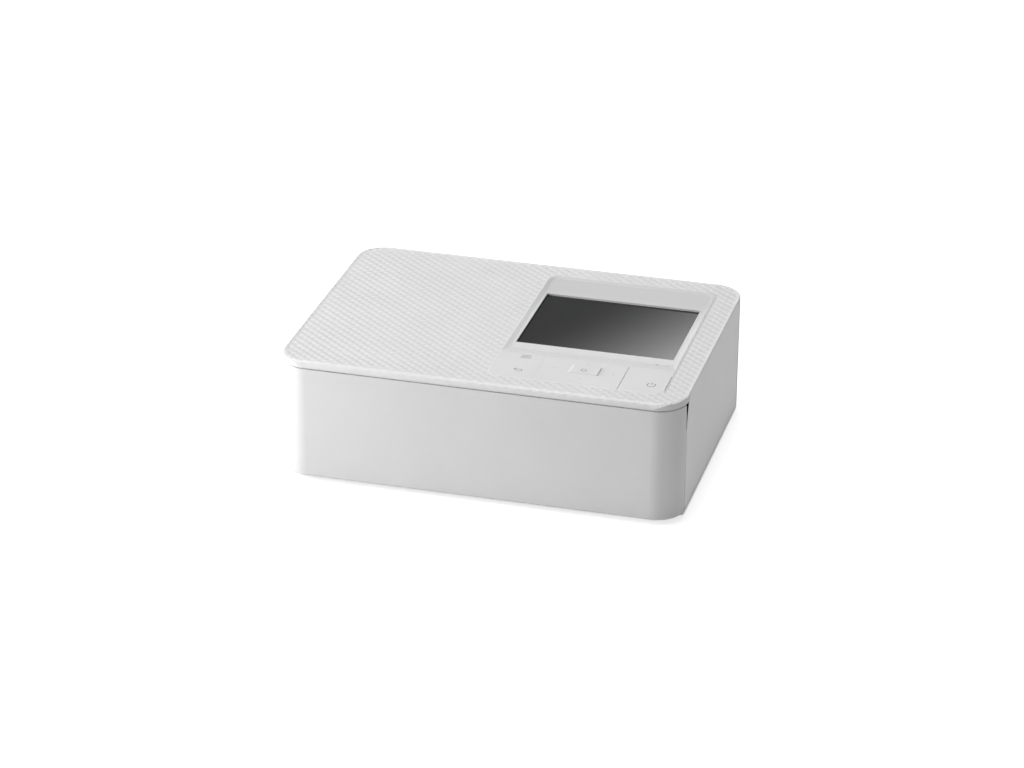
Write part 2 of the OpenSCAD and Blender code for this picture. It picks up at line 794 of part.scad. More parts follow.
// Right side cover: wall, rounded pivot edge with pins, scoop and ribs
module side_cover() {
    front_y = front_seam + seam;
    rib_y = side_y - 16.1;
    color("whitesmoke") difference() {
        union() {
            intersection() {
                case_band(panel_z0, panel_z1, 0, wall);
                block([half_w - 8, front_y, 0], [half_w + 1, side_y, body_h]);
            }
            shell_lip([half_w - 8, front_y], [half_w + 1, side_y]);
            z_rod(side_x, side_y, panel_z0, panel_z1, side_edge_r);
            difference() {
                z_rod(side_x, side_y, panel_z1 - eps, lip_z1, side_edge_r);
                z_rod(side_x, side_y, panel_z1 - 1, lip_z1 + 1, side_edge_r - lip_t);
            }
            z_rod(side_x, side_y, panel_z0 - pivot_l, panel_z1 + pivot_l, pivot_r);
            for (i = [0:4]) {
                y = rib_y - i * 18;
                block([inner_x - 1.4, y - 0.5, panel_z0 + 6], [inner_x + eps, y + 0.5, panel_z1 - 4]);
            }
            for (z = [deck_z + 14, panel_z1 - 12]) {
                block([inner_x - 1.4, front_y + 14, z], [inner_x + eps, side_y - 6, z + 1]);
            }
        }
        notch_cut(front_y, 1, notch_side);
    }
}

// Left panel with the card slot and two sockets
module left_panel() {
    color("whitesmoke") difference() {
        union() {
            intersection() {
                case_band(panel_z0, panel_z1, 0, wall);
                block([-half_w - 1, front_seam + seam, 0], [-half_w + 8, rear_seam - seam, body_h]);
            }
            shell_lip([-half_w - 1, front_seam + seam], [-half_w + 8, rear_seam - seam]);
            for (i = [0:2]) {
                y = front_seam + 10.5 + i * 15;
                block([-inner_x - eps, y - 0.5, panel_z0 + 6], [-inner_x + 1.4, y + 0.5, panel_z1 - 4]);
            }
        }
        socket_hole(sd_y, sd_size + [0.4, 0.2]);
        socket_hole(usb_a_y, usb_a_size + [0.5, 0.3]);
        socket_hole(usb_c_y, usb_c_size + [0.6, 0.5]);
    }
}

// A hole in the left wall with a shallow bevelled mouth
module socket_hole(y, size) {
    w = size[0];
    h = size[1];
    z = board_z + board_t;
    block([-half_w - 1, y - w / 2, z], [-inner_x + 1, y + w / 2, z + h]);
    block([-half_w - 1, y - w / 2 - 0.8, z - 0.8], [-half_w + 0.6, y + w / 2 + 0.8, z + h + 0.8]);
}

// Rear case with both rear corners, the paper outlet, vents and the inlet's hole
module rear_case() {
    outlet_z0 = paper_z - outlet_h / 2;
    outlet_half = paper_half + 1;
    lip_half = outlet_half + 1.5;
    vent_h = 6;
    vent_pitch = 5;
    color("whitesmoke") difference() {
        union() {
            intersection() {
                case_band(panel_z0, panel_z1, 0, wall);
                block([-half_w - 1, rear_seam, 0], [half_w + 1, half_d + 1, body_h]);
            }
            shell_lip([-half_w - 1, rear_seam], [half_w + 1, half_d + 1]);
            block([bay_x - lip_half, inner_y - 3, outlet_z0 - 1.4],
                [bay_x + lip_half, inner_y + eps, outlet_z0]);
            block([bay_x - lip_half, inner_y - 3, outlet_z0 + outlet_h],
                [bay_x + lip_half, inner_y + eps, outlet_z0 + outlet_h + 1.4]);
            for (i = [-2.5:2.5]) {
                x = bay_x - 2 + (outlet_half - 2) * i / 2.5;
                block([x - 0.5, inner_y - 1.4, panel_z0 + 5], [x + 0.5, inner_y + eps, outlet_z0 - 2]);
            }
        }
        block([bay_x - outlet_half, inner_y - 4, outlet_z0],
            [bay_x + outlet_half, half_d + 1, outlet_z0 + outlet_h]);
        for (column = [0:6], row = [0, 1]) {
            vent_x = bay_x0 - 12 + column * vent_pitch;
            vent_z = panel_z1 - 12.5 - row * (vent_h + 2);
            block([vent_x, inner_y - 1, vent_z], [vent_x + 2, half_d + 1, vent_z + vent_h]);
        }
        translate([jack_x, half_d + 1, board_z + board_t + 5.5]) rotate([90, 0, 0])
            cylinder(h = wall + 4, r = 4.6);
        z_rod(side_x, side_y, panel_z0 - 1, body_h, side_edge_r + seam);
    }
}

// Inner front wall with the paper cassette's opening, cut back behind the finger notch
module front_frame() {
    y0 = front_seam + 0.7;
    y1 = y0 + 2;
    x1 = inner_x - 0.4;
    z0 = deck_z + 1.6;
    z1 = rim_z - 3;
    flange_d = 3;
    tunnel_d = 6;
    tunnel_t = 1.6;
    open_half = bay_w / 2 - 4;
    open_z0 = z0 + 2.4;
    open_z1 = z1 - 7.8;
    side_half = open_half + 2;
    color("gainsboro") difference() {
        union() {
            intersection() {
                block([-x1, y0, z0], [x1, y1, z1]);
                case_prism(z0, z1, wall + 0.4);
            }
            for (side = [0, 1]) {
                mirror([side, 0, 0]) block([x1 - 1.6, y0, z0 + 3], [x1, y0 + flange_d, z1]);
            }
            block([bay_x - side_half, y0, open_z1], [bay_x + side_half, y0 + tunnel_d, open_z1 + tunnel_t]);
            for (x = [bay_x - side_half, bay_x + side_half - tunnel_t]) {
                block([x, y0, open_z0 - 1], [x + tunnel_t, y0 + tunnel_d, open_z1 + tunnel_t]);
            }
        }
        block([bay_x - open_half, y0 - 1, open_z0], [bay_x + open_half, y1 + 1, open_z1]);
        for (side = [-1, 1]) {
            block([side * ear_x - ear_w / 2 - 0.3, y0 - 1, z0 - 1],
                [side * ear_x + ear_w / 2 + 0.3, y1 + 1, cover_axis_z + knuckle_r + 0.3]);
        }
        block([bay_x + side_half + 1, y0 - 1, notch_z - 3], [half_w, y0 + tunnel_d, rim_z]);
    }
}

// Four rubber feet, set into the base
module feet() {
    color("dimgray") for (at = foot_places) {
        translate([at[0], at[1], 0]) rotate_extrude() intersection() {
            square([foot_r, base_z + 0.35]);
            union() {
                translate([0, 0.8]) square([foot_r, base_z]);
                square([foot_r - 0.8, base_z]);
                translate([foot_r - 0.8, 0.8]) circle(0.8);
            }
        }
    }
}

// Four long screws that pull the lid to the base
module case_screws() {
    color("silver") for (at = post_places) {
        screw_up(at[0], at[1], base_z + 0.15, rim_z - base_z - 6);
    }
}

// Dark window over the display
module lcd_window() {
    color([0.1, 0.1, 0.12]) translate([0, 0, glass_z - window_t]) linear_extrude(window_t)
        plan_box(screen_x0, screen_x1, screen_y0, screen_y1, 0.7);
}

// Display module: metal frame, glass and backlight
module lcd_module() {
    grow = 1.6;
    color("dimgray") {
        block([screen_x0 - grow, screen_y0 - grow, lcd_z0],
            [screen_x1 + grow, screen_y1 + grow, lcd_z1 - 0.6]);
        block([screen_x0 + 1.5, screen_y0 + 1.5, lcd_z0 + 1],
            [screen_x1 - 1.5, screen_y1 - 1.5, lcd_z1]);
    }
}

// Tray that holds the display up against the lid
module lcd_bracket() {
    x0 = panel_x - bracket_out;
    x1 = panel_x1 + bracket_out;
    y0 = screen_y0 - 3;
    y1 = screen_y1 + 3;
    z = bracket_z;
    color("gray") difference() {
        union() {
            block([x0, y0, z], [x1, y1, lcd_z0]);
            for (y = [y0, y1 - 0.8]) {
                block([screen_x0, y, z], [screen_x1, y + 0.8, lcd_z0 + 2]);
            }
        }
        block([screen_x0 + 12, screen_y0 + 12, z - 1], [screen_x1 - 12, screen_y1 - 12, lcd_z0 + 1]);
        for (x = [panel_x - post_out, panel_x1 + post_out], y = [screen_y0 + 6, screen_y1 - 2]) {
            z_rod(x, y, z - 1, lcd_z0 + 1, 1.1);
        }
    }
}

// A key cap between two edges: the strip's outline, cut to its own width
module key_cap(x0, x1) {
    intersection() {
        union() {
            key_strip(0, flange_z1 - eps, key_top);
            key_strip(flange_out, flange_z0, flange_z1);
        }
        block([x0, panel_y0 - 5, 0], [x1, keys_y1 + 5, body_h + 5]);
    }
}

// What the slit at the power key's right side takes off its cap
module power_slit_cut() {
    block([panel_x1 - power_slit + key_gap, panel_y0 + panel_r, flange_z1],
        [panel_x1 + 1, keys_y1 - panel_r, body_h + 1]);
}

// A plunger below a key
module plunger(at) {
    z_rod(at[0], at[1], switch_top + key_travel + 0.1, flange_z0 + eps, 1.6);
}

// Rocker with the menu mark and the back mark
module menu_back_key() {
    color("whitesmoke") {
        key_cap(panel_x - flange_out, menu_x1 - key_gap / 2);
        plunger(menu_spot);
        plunger(back_spot);
    }
}

// Wide key round the centre key
module nav_key() {
    color("whitesmoke") {
        difference() {
            key_cap(menu_x1 + key_gap / 2, power_x0 - power_slit / 2);
            translate([0, 0, flange_z0 - 1]) linear_extrude(flange_t + 1.1)
                plan_box(ok_x - ok_w / 2 - 1.3, ok_x + ok_w / 2 + 1.3,
                    ok_y - ok_d / 2 - 1.3, ok_y + ok_d / 2 + 1.3, 1.5);
            translate([0, 0, flange_z0 - 1]) linear_extrude(10)
                plan_box(ok_x - ok_w / 2 - key_gap, ok_x + ok_w / 2 + key_gap,
                    ok_y - ok_d / 2 - key_gap, ok_y + ok_d / 2 + key_gap, 0.3);
        }
        plunger(nav_left_spot);
        plunger(nav_right_spot);
    }
}

// Raised centre key with a long slope at its left end
module ok_key() {
    steep = 0.3;
    z1 = under_z - key_travel - key_gap;
    z0 = z1 - 0.75;
    color("whitesmoke") {
        translate([0, 0, z0]) linear_extrude(key_top - z0)
            plan_box(ok_x - ok_w / 2, ok_x + ok_w / 2, ok_y - ok_d / 2, ok_y + ok_d / 2, 0.3);
        translate([0, 0, z0]) linear_extrude(z1 - z0)
            plan_box(ok_x - ok_w / 2 - 1, ok_x + ok_w / 2 + 1,
                ok_y - ok_d / 2 - 1, ok_y + ok_d / 2 + 1, 1.4);
        intersection() {
            along_x(ok_x - ok_w / 2, ok_x + ok_w / 2) polygon([
                [ok_y - ok_d / 2, key_top - eps], [ok_y - ok_d / 2 + steep, key_top + ok_h],
                [ok_y + ok_d / 2 - steep, key_top + ok_h], [ok_y + ok_d / 2, key_top - eps]
            ]);
            translate([ok_x, ok_y + ok_d / 2, key_top]) rotate([90, 0, 0])
                linear_extrude(ok_d) polygon([
                    [-ok_w / 2, -eps], [-ok_w / 2 + ok_slope, ok_h],
                    [ok_w / 2 - steep, ok_h], [ok_w / 2, -eps]
                ]);
        }
        plunger([ok_x, ok_y]);
    }
}

// Power key at the right end
module power_key() {
    color("whitesmoke") {
        difference() {
            key_cap(power_x0 + power_slit / 2, panel_x1 + flange_out);
            power_slit_cut();
        }
        plunger(power_spot);
    }
}

// Circuit board under the keys
module key_board() {
    color("darkgreen") difference() {
        block([panel_x - bracket_out, panel_y0 + 3.2, key_board_z],
            [panel_x1, keys_y1 + 5.6, key_board_z + board_t]);
        for (at = key_board_posts) {
            z_rod(at[0], at[1], key_board_z - 1, key_board_z + board_t + 1, 1.1);
        }
    }
}

// Six small push switches
module tact_switches() {
    spots = [menu_spot, back_spot, nav_left_spot, [ok_x, ok_y], nav_right_spot, power_spot];
    z = key_board_z + board_t;
    color("dimgray") for (at = spots) {
        block([at[0] - 3, at[1] - 3, z], [at[0] + 3, at[1] + 3, switch_top - 0.6 + eps]);
        z_rod(at[0], at[1], switch_top - 0.6, switch_top, 1.7);
    }
}

// Outline of a steel side frame with its feet
module frame_plate(x0) {
    foot_out = 6.5;
    low_top = pickup[1] + 6.9;
    along_x(x0, x0 + frame_t) {
        translate([frame_step, frame_z]) square([frame_y1 - frame_step, frame_top - frame_z]);
        translate([frame_y0, frame_z]) square([frame_step - frame_y0 + 1, low_top - frame_z]);
    }
    for (y = frame_feet) {
        block([x0 - foot_out + frame_t, y - frame_foot / 2, frame_z],
            [x0 + frame_t, y + frame_foot / 2, frame_z + frame_t]);
    }
}

// Holes for the bushes of the rollers
module bush_holes(x0) {
    for (at = [grip, pickup, platen, pinch]) {
        x_rod(x0 - 1, x0 + frame_t + 1, at, bush_r(at));
    }
}
function bush_r(at) = at == pinch ? 2.6 : shaft_r + 1.3;

// Left side frame: carries the gears and the motor
module left_side_frame() {
    x0 = bay_x0 - frame_t;
    color("silver") difference() {
        frame_plate(x0);
        bush_holes(x0);
        x_rod(x0 - 1, x0 + frame_t + 1, take_up, 3 + run_gap);
        x_rod(x0 - 1, x0 + frame_t + 1, head_pivot, 2 + run_gap);
        for (at = [idler_front, idler_middle, idler_rear]) {
            x_rod(x0 - 1, x0 + frame_t + 1, at, stud_r + 0.02);
        }
        for (y = frame_feet) {
            z_rod(x0 - frame_screw_in, y, deck_z, deck_z + 5, screw_r + 0.1);
        }
    }
}

// Right side frame with the ribbon cassette's window
module right_side_frame() {
    x0 = bay_x1;
    color("silver") difference() {
        frame_plate(x0);
        bush_holes(x0);
        x_rod(x0 - 1, x0 + frame_t + 1, head_pivot, 2 + run_gap);
        along_x(x0 - 1, x0 + frame_t + 1) {
            translate([supply[0] - tube_r - 0.5, spool_z - tube_r - 0.4])
                square([spool_pitch + 2 * tube_r + 1, 2 * tube_r + 0.8]);
        }
        for (y = frame_feet) {
            z_rod(x0 - frame_screw_in, y, deck_z, deck_z + 5, screw_r + 0.1);
        }
    }
}

// Bent steel bar that ties the frames at the front
module front_crossbar() {
    y0 = frame_step + 3;
    depth = 5;
    z1 = frame_top - 3;
    lip_h = 4.5;
    ear_h = 11;
    color("silver") {
        block([bay_x0, y0, z1 - bar_t], [bay_x1, y0 + depth, z1]);
        block([bay_x0, y0, z1 - lip_h], [bay_x1, y0 + bar_t, z1 - bar_t / 2]);
        for (x = [bay_x0, bay_x1 - bar_t]) {
            block([x, y0 - depth - bar_t, z1 - lip_h + 1.5 - ear_h], [x + bar_t, y0 + bar_t, z1 - 3]);
        }
    }
}

// Bent steel bar that ties the frames at the rear
module rear_crossbar() {
    y1 = frame_y1;
    depth = 7;
    z0 = frame_z + 2.8;
    z1 = rear_bar_z;
    color("silver") {
        block([bay_x0, y1 - bar_t, z0], [bay_x1, y1, z1]);
        block([bay_x0, y1 - depth, z0], [bay_x1, y1, z0 + bar_t]);
        for (x = [bay_x0, bay_x1 - bar_t]) {
            block([x, y1 - depth, z0], [x + bar_t, y1, z1]);
        }
    }
}

// Two rails that guide the paper cassette
module cassette_rails() {
    floor_w = 3;
    side_w = 1.2;
    side_h = 12;
    color("gainsboro") for (side = [-1, 1]) {
        x = bay_x + side * bay_w / 2;
        xa = side > 0 ? x - floor_w : x;
        block([xa, frame_y0, rail_z], [xa + floor_w, frame_step, rail_z + 1]);
        xb = side > 0 ? x - side_w : x;
        block([xb, frame_y0, rail_z], [xb + side_w, frame_step, rail_z + side_h]);
    }
}

// Screws through the frames' feet
module chassis_screws() {
    z = frame_z + frame_t;
    spots = [for (x = [bay_x0 - frame_t, bay_x1], y = frame_feet) [x - frame_screw_in, y]];
    color("silver") for (at = spots) {
        difference() {
            union() {
                z_rod(at[0], at[1], z, z + 1.3, 2.2);
                z_rod(at[0], at[1], frame_z + 0.05, z + eps, screw_r);
            }
            for (turn = [0, 90]) {
                translate([at[0], at[1], z + 1.3]) rotate(turn) cube([2.4, 0.6, 1], center = true);
            }
        }
    }
}

// Plastic bushes of the roller shafts
module shaft_bushes() {
    color("white") for (at = [grip, pickup, platen, pinch], x = [bay_x0 - frame_t, bay_x1]) {
        bore = (at == pinch ? 1.5 : shaft_r) + run_gap;
        inside = x == bay_x1 ? x - 0.8 : x + frame_t;
        difference() {
            union() {
                x_rod(x, x + frame_t, at, bush_r(at) - 0.02);
                x_rod(inside, inside + 0.8, at, bush_r(at) + 0.6);
            }
            x_rod(x - 2, x + frame_t + 2, at, bore);
        }
    }
}

// Shaft of the pickup roller
module pickup_shaft() {
    color("silver") x_rod(gear_x0 - 0.8, bay_x1 + frame_t + 0.6, pickup, shaft_r);
}

// Two rubber tyres on their hubs
module pickup_tyres() {
    color("dimgray") for (x = [bay_x - 16, bay_x + 16 - tyre_w]) {
        difference() {
            x_rod(x, x + tyre_w, pickup, pickup_r);
            x_rod(x - 1, x + tyre_w + 1, pickup, shaft_r + 0.02);
        }
    }
}

module pickup_gear() {
    color("white") gear(pickup_teeth, pickup_phase, pickup, shaft_r + 0.02);
}

// Steel feed roller
module grip_roller() {
    color("silver") {
        x_rod(bay_x - roll_half, bay_x + roll_half, grip, grip_r);
        x_rod(gear_x0 - 0.8, bay_x1 + frame_t + 0.6, grip, shaft_r);
    }
}

module grip_gear() {
    color("white") gear(grip_teeth, grip_phase, grip, shaft_r + 0.02);
}

// Free roller that presses the paper on the feed roller
module pinch_roller() {
    sleeve_l = 2 * roll_half / 5.143;
    color("dimgray") {
        for (i = [0:3]) {
            x = bay_x - roll_half + i * (2 * roll_half - sleeve_l) / 3;
            x_rod(x, x + sleeve_l, pinch, pinch_r);
        }
        x_rod(bay_x0 - frame_t - 0.4, bay_x1 + frame_t + 0.4, pinch, 1.5);
    }
}

module platen_shaft() {
    color("silver") x_rod(bay_x0 - frame_t - 0.5, bay_x1 + frame_t + 0.5, platen, shaft_r);
}

// Rubber of the platen roller
module platen_roller() {
    color("dimgray") difference() {
        x_rod(bay_x - roll_half + 1, bay_x + roll_half - 1, platen, platen_r);
        x_rod(bay_x0, bay_x1, platen, shaft_r + 0.02);
    }
}

// Print head: a narrow ceramic bar on its carrier
module thermal_head() {
    bar_d = 3;
    carrier_d = 6.4;
    color("darkslategray") along_x(film_x0, film_x1) {
        translate([platen[0] - bar_d / 2, head_z]) square([bar_d, head_bar_h + 0.2]);
        translate([platen[0] - carrier_d / 2, head_z + head_bar_h]) square([carrier_d, carrier_h]);
    }
}

// Finned heat sink above the print head
module heat_sink() {
    z = head_z + head_bar_h + carrier_h;
    top = head_plate_z;
    sink_d = 8.8;
    fin_t = 1;
    color("lightgray") along_x(film_x0, film_x1) {
        translate([platen[0] - sink_d / 2, z]) square([sink_d, 2.4]);
        for (fin = [0:3]) {
            y = -sink_d / 2 + fin * (sink_d - fin_t) / 3;
            translate([platen[0] + y, z]) square([fin_t, top - z - 2]);
        }
        translate([platen[0] - sink_d / 2, top - 2]) square([sink_d, 2]);
    }
}

// Steel plate that carries the print head and swings it up
module head_bracket() {
    z = head_plate_z;
    x0 = bay_x0 + 1.2;
    x1 = bay_x1 - 1.2;
    color("silver") difference() {
        union() {
            block([x0, head_pivot[0] + 2.5, z], [x1, platen[0] + 6, z + 1.2]);
            for (x = [x0, x1 - 1.2]) {
                x_rod(x, x + 1.2, head_pivot, 3.2);
                block([x, head_pivot[0], head_pivot[1] - 1], [x + 1.2, head_pivot[0] + 3.5, z + 1.2]);
            }
        }
        x_rod(x0 - 1, x1 + 1, head_pivot, 1.62);
        for (i = [-1:1]) {
            x = bay_x + i * (roll_half - 21);
            block([x - 9, head_pivot[0] + 8, z - 1], [x + 9, platen[0] - 8, z + 3]);
        }
    }
}

// Two short pins on which the head bracket swings
module head_pivots() {
    color("silver") for (side = [-1, 1]) {
        x_in = bay_x + side * (bay_w / 2 - 2.6);
        x_out = bay_x + side * (bay_w / 2 + frame_t + 0.6);
        x_face = bay_x + side * (bay_w / 2 - 0.6);
        x_rod(min(x_in, x_out), max(x_in, x_out), head_pivot, 1.6);
        x_rod(min(x_face, x_out), max(x_face, x_out), head_pivot, 1.98);
    }
}

// Lower paper guide, from the platen to the rear outlet
module paper_guide_lower() {
    y0 = platen[0] + platen_r + 1;
    y1 = inner_y - guide_end;
    rib_y = frame_y1 - 8;
    foot_z = rear_bar_z + 0.05;
    foot_w = 6;
    guide_t = 1.2;
    color("gainsboro") {
        along_x(bay_x - paper_half, bay_x + paper_half) {
            polygon([[y0, paper_z - 3], [y1, paper_z - 2.5], [y1, paper_z - 1.3], [y0, paper_z - 1.8]]);
            translate([rib_y, foot_z]) square([guide_t, paper_z - foot_z - 2]);
        }
        for (x = [bay_x0 + 0.1, bay_x1 - foot_w - 0.1]) {
            block([x, rib_y, foot_z], [x + foot_w, frame_y1, foot_z + guide_t]);
            block([x, rib_y, foot_z], [x + foot_w, rib_y + guide_t, paper_z - 2]);
        }
    }
}

// Upper paper guide behind the ribbon cassette
module paper_guide_upper() {
    y0 = take_up[0] + tube_r + 0.8;
    z0 = paper_z + 1.4;
    step_h = 3.6;
    z1 = z0 + step_h;
    wall_t = 1.2;
    wall_h = 14;
    color("gainsboro") {
        block([bay_x - paper_half, y0, z0], [bay_x + paper_half, inner_y - guide_end, z0 + 1]);
        block([bay_x - paper_half, y0, z0], [bay_x + paper_half, y0 + wall_t, z1 + 1]);
        block([bay_x0 + 0.1, y0, z1], [bay_x1 - 0.1, y0 + wall_t, z1 + wall_h]);
    }
}

// Film cassette: two slotted tubes joined by end plates
module ribbon_cassette() {
    end_t = 2;
    mouth = 7;
    mouth_h = 9;
    color("whitesmoke") difference() {
        union() {
            for (at = [supply, take_up]) {
                difference() {
                    x_rod(cassette_x0, cassette_x1, at, tube_r);
                    x_rod(cassette_x0 + end_t, cassette_x1 - end_t, at, tube_r - tube_wall);
                }
            }
            for (x = [cassette_x0, cassette_x1 - end_t]) {
                block([x, supply[0], spool_z - tube_r], [x + end_t, take_up[0], spool_z - tube_r + 3.4]);
            }
            block([cassette_x1 - 2 * end_t, supply[0] + tube_r - 1, spool_z - 5.5],
                [cassette_x1, take_up[0] - tube_r + 1, spool_z + 7.5]);
        }
        block([cassette_x0 + 2 * end_t, supply[0], spool_z - mouth],
            [cassette_x1 - 2 * end_t, supply[0] + tube_r + 1, spool_z - mouth + mouth_h]);
        block([cassette_x0 + 2 * end_t, take_up[0] - tube_r - 1, spool_z - mouth],
            [cassette_x1 - 2 * end_t, take_up[0], spool_z - mouth + mouth_h]);
        for (at = [supply, take_up]) {
            x_rod(cassette_x0 - 1, cassette_x1 + 1, at, core_r - 1 + run_gap);
        }
    }
}

// The open run of film from roll to roll, under the head
module ribbon_film() {
    color("saddlebrown") along_x(film_x0, film_x1) polygon([
        film_end(supply, supply_r, 1), [platen[0] - film_flat, film_z], [platen[0] + film_flat, film_z],
        film_end(take_up, used_r, -1),
        film_end(take_up, used_r, -1) + [-film_t, film_t],
        [platen[0] + film_flat, film_z + film_t], [platen[0] - film_flat, film_z + film_t],
        film_end(supply, supply_r, 1) + [film_t, film_t]
    ]);
}

// The point where the film leaves a roll, a hair clear of it
function film_end(at, r, dir) =
    let (
        corner = [platen[0] - dir * film_flat, film_z],
        away = at - corner,
        lean = asin((r + 0.2) / norm(away)),
        course = atan2(away[1], away[0]) + (dir > 0 ? -lean : lean),
        run = sqrt(pow(norm(away), 2) - pow(r + 0.2, 2))
    )
    corner + polar(run, course);

// A spool: core with journals at both ends and a drive socket
module spool(at) {
    difference() {
        union() {
            x_rod(cassette_x0 + 2.4, cassette_x1 - 2.4, at, core_r);
            x_rod(cassette_x0, cassette_x1 - 0.4, at, core_r - 1);
        }
        along_x(cassette_x0 - 1, cassette_x0 + 8) translate(at) circle(2.3, $fn = 6);
    }
}

module supply_spool() {
    color("black") spool(supply);
}

module supply_roll() {
    color("saddlebrown") film_roll(supply, supply_r);
}

module take_up_spool() {
    color("black") spool(take_up);
}

module take_up_roll() {
    color("saddlebrown") film_roll(take_up, used_r);
}

// The film wound on a core
module film_roll(at, r) {
    difference() {
        x_rod(film_x0, film_x1, at, r);
        x_rod(film_x0 - 1, film_x1 + 1, at, core_r + 0.02);
    }
}

// Gear, journal and dog that drive the take-up spool
module take_up_gear() {
    color("white") {
        gear(take_up_teeth, take_up_phase, take_up, 2);
        x_rod(gear_x0 - 0.4, bay_x0 + 0.6, take_up, 3);
        along_x(bay_x0 + 0.6 - eps, cassette_x0 + 5) translate(take_up) circle(2.15, $fn = 6);
    }
}

// Feed motor: can, front plate and shaft boss
module feed_motor() {
    color("silver") {
        x_rod(motor_x0, motor_x1 - 1, motor_at, motor_r);
        x_rod(motor_x1 - 1, motor_x1, motor_at, motor_r - 1);
        x_rod(motor_x0 - 2, motor_x0 + eps, motor_at, 4);
    }
}

// Folded steel bracket from the side frame to the motor's face
module motor_bracket() {
    shaft_hole = 2.5;
    x0 = motor_x1;
    y0 = motor_at[0] - motor_r - 6;
    z0 = frame_z + frame_t + 0.05;
    z1 = motor_at[1] + motor_r;
    color("silver") difference() {
        union() {
            block([x0, y0, z0], [x0 + 1.2, motor_at[0] + motor_r - 2, z1]);
            block([x0, y0, z0], [bay_x0 - frame_t, y0 + 1.2, z1]);
        }
        x_rod(x0 - 1, x0 + 3, motor_at, shaft_hole);
    }
}

// Brass pinion on the motor's shaft
module motor_pinion() {
    color("goldenrod") {
        along_x(gear_x0, gear_x1) difference() {
            translate(motor_at) gear_plan(pinion_teeth, pinion_phase);
            translate(motor_at) circle(1);
        }
    }
    color("silver") x_rod(motor_x1 + 0.05, gear_x1 + 0.4, motor_at, 0.98);
}

module idler_gear_front() {
    color("white") gear(idler_teeth, idler_front_phase, idler_front, stud_r + run_gap);
}

module idler_gear_middle() {
    color("white") gear(idler_teeth, idler_middle_phase, idler_middle, stud_r + run_gap);
}

module idler_gear_rear() {
    color("white") gear(idler_teeth, idler_rear_phase, idler_rear, stud_r + run_gap);
}

// Three studs that carry the idler gears, with retaining heads
module idler_studs() {
    color("silver") for (at = [idler_front, idler_middle, idler_rear]) {
        x_rod(gear_x0 - 1.4, bay_x0, at, stud_r);
        x_rod(gear_x0 - 1.4, gear_x0 - 0.6, at, stud_r + 1);
        x_rod(gear_x1 + 0.6, bay_x0 - frame_t, at, stud_r + 1);
    }
}

// Main circuit board
module main_board() {
    color("darkgreen") difference() {
        block([board_x0, board_y0, board_z], [board_x1, board_y1, board_z + board_t]);
        for (x = [board_x0 + 4, board_x1 - 4], y = [board_y0 + 4, board_y1 - 4]) {
            z_rod(x, y, board_z - 1, board_z + board_t + 1, 1.2);
        }
    }
}

// Chips, a connector and two capacitors on the main board
module board_parts() {
    z = board_z + board_t;
    chip = [12.5, 12.5, 1.4];
    memory = [10, 10, 1.2];
    plug = [6, 12, 6];
    can_r = 4;
    can_h = 11;
    color("dimgray") {
        translate([board_x0 + 22.5, board_y0 + 28, z]) cube(chip);
        translate([board_x0 + 22, board_y0 + 12, z]) cube(memory);
        translate([board_x1 - 8, board_y0 + 26, z]) cube(plug);
        for (y = [board_y1 - 12, board_y1 - 20]) {
            z_rod(board_x1 - 9, y, z, z + can_h, can_r - 0.1);
        }
    }
}

// A socket's metal box, open towards the left wall
module socket(y, size, depth, skin) {
    w = size[0];
    h = size[1];
    x0 = -inner_x - 0.6;
    z = board_z + board_t;
    difference() {
        block([x0, y - w / 2, z], [x0 + depth, y + w / 2, z + h]);
        block([x0 - 1, y - w / 2 + skin, z + skin], [x0 + depth - 1.5, y + w / 2 - skin, z + h - skin]);
    }
}

module sd_socket() {
    color("silver") socket(sd_y, sd_size, sd_depth, 0.3);
}

module usb_a_socket() {
    color("silver") socket(usb_a_y, usb_a_size, usb_a_depth, 0.4);
    color("white") tongue(usb_a_y, usb_a_size, usb_a_depth, 3.2, 1.4);
}

module usb_c_socket() {
    color("silver") socket(usb_c_y, usb_c_size, usb_c_depth, 0.3);
    color("black") tongue(usb_c_y, usb_c_size - [0.4, 0], usb_c_depth, 1.3, 0.7);
}

// The plastic tongue inside a socket, at a height above the board
module tongue(y, size, depth, rise, t) {
    half = size[0] / 2 - tongue_gap;
    z = board_z + board_t + rise;
    block([-inner_x + 1, y - half, z], [-inner_x + depth - 1, y + half, z + t]);
}

// Power inlet on the rear wall
module dc_jack() {
    y1 = half_d - 0.8;
    z = board_z + board_t;
    jack_w = 10;
    jack_h = 11;
    collar_l = 3;
    body_l = 13;
    bore_l = 9;
    axis_z = z + jack_h / 2;
    color([0.15, 0.15, 0.15]) difference() {
        union() {
            block([jack_x - jack_w / 2, y1 - body_l, z], [jack_x + jack_w / 2, y1 - 2, z + jack_h]);
            translate([jack_x, y1, axis_z]) rotate([90, 0, 0]) cylinder(h = collar_l, r = 4.4);
        }
        translate([jack_x, y1 + 1, axis_z]) rotate([90, 0, 0]) cylinder(h = bore_l + 1, r = 2.75);
    }
    color("gold") translate([jack_x, y1 - 1, axis_z]) rotate([90, 0, 0]) cylinder(h = bore_l, r = 0.8);
}

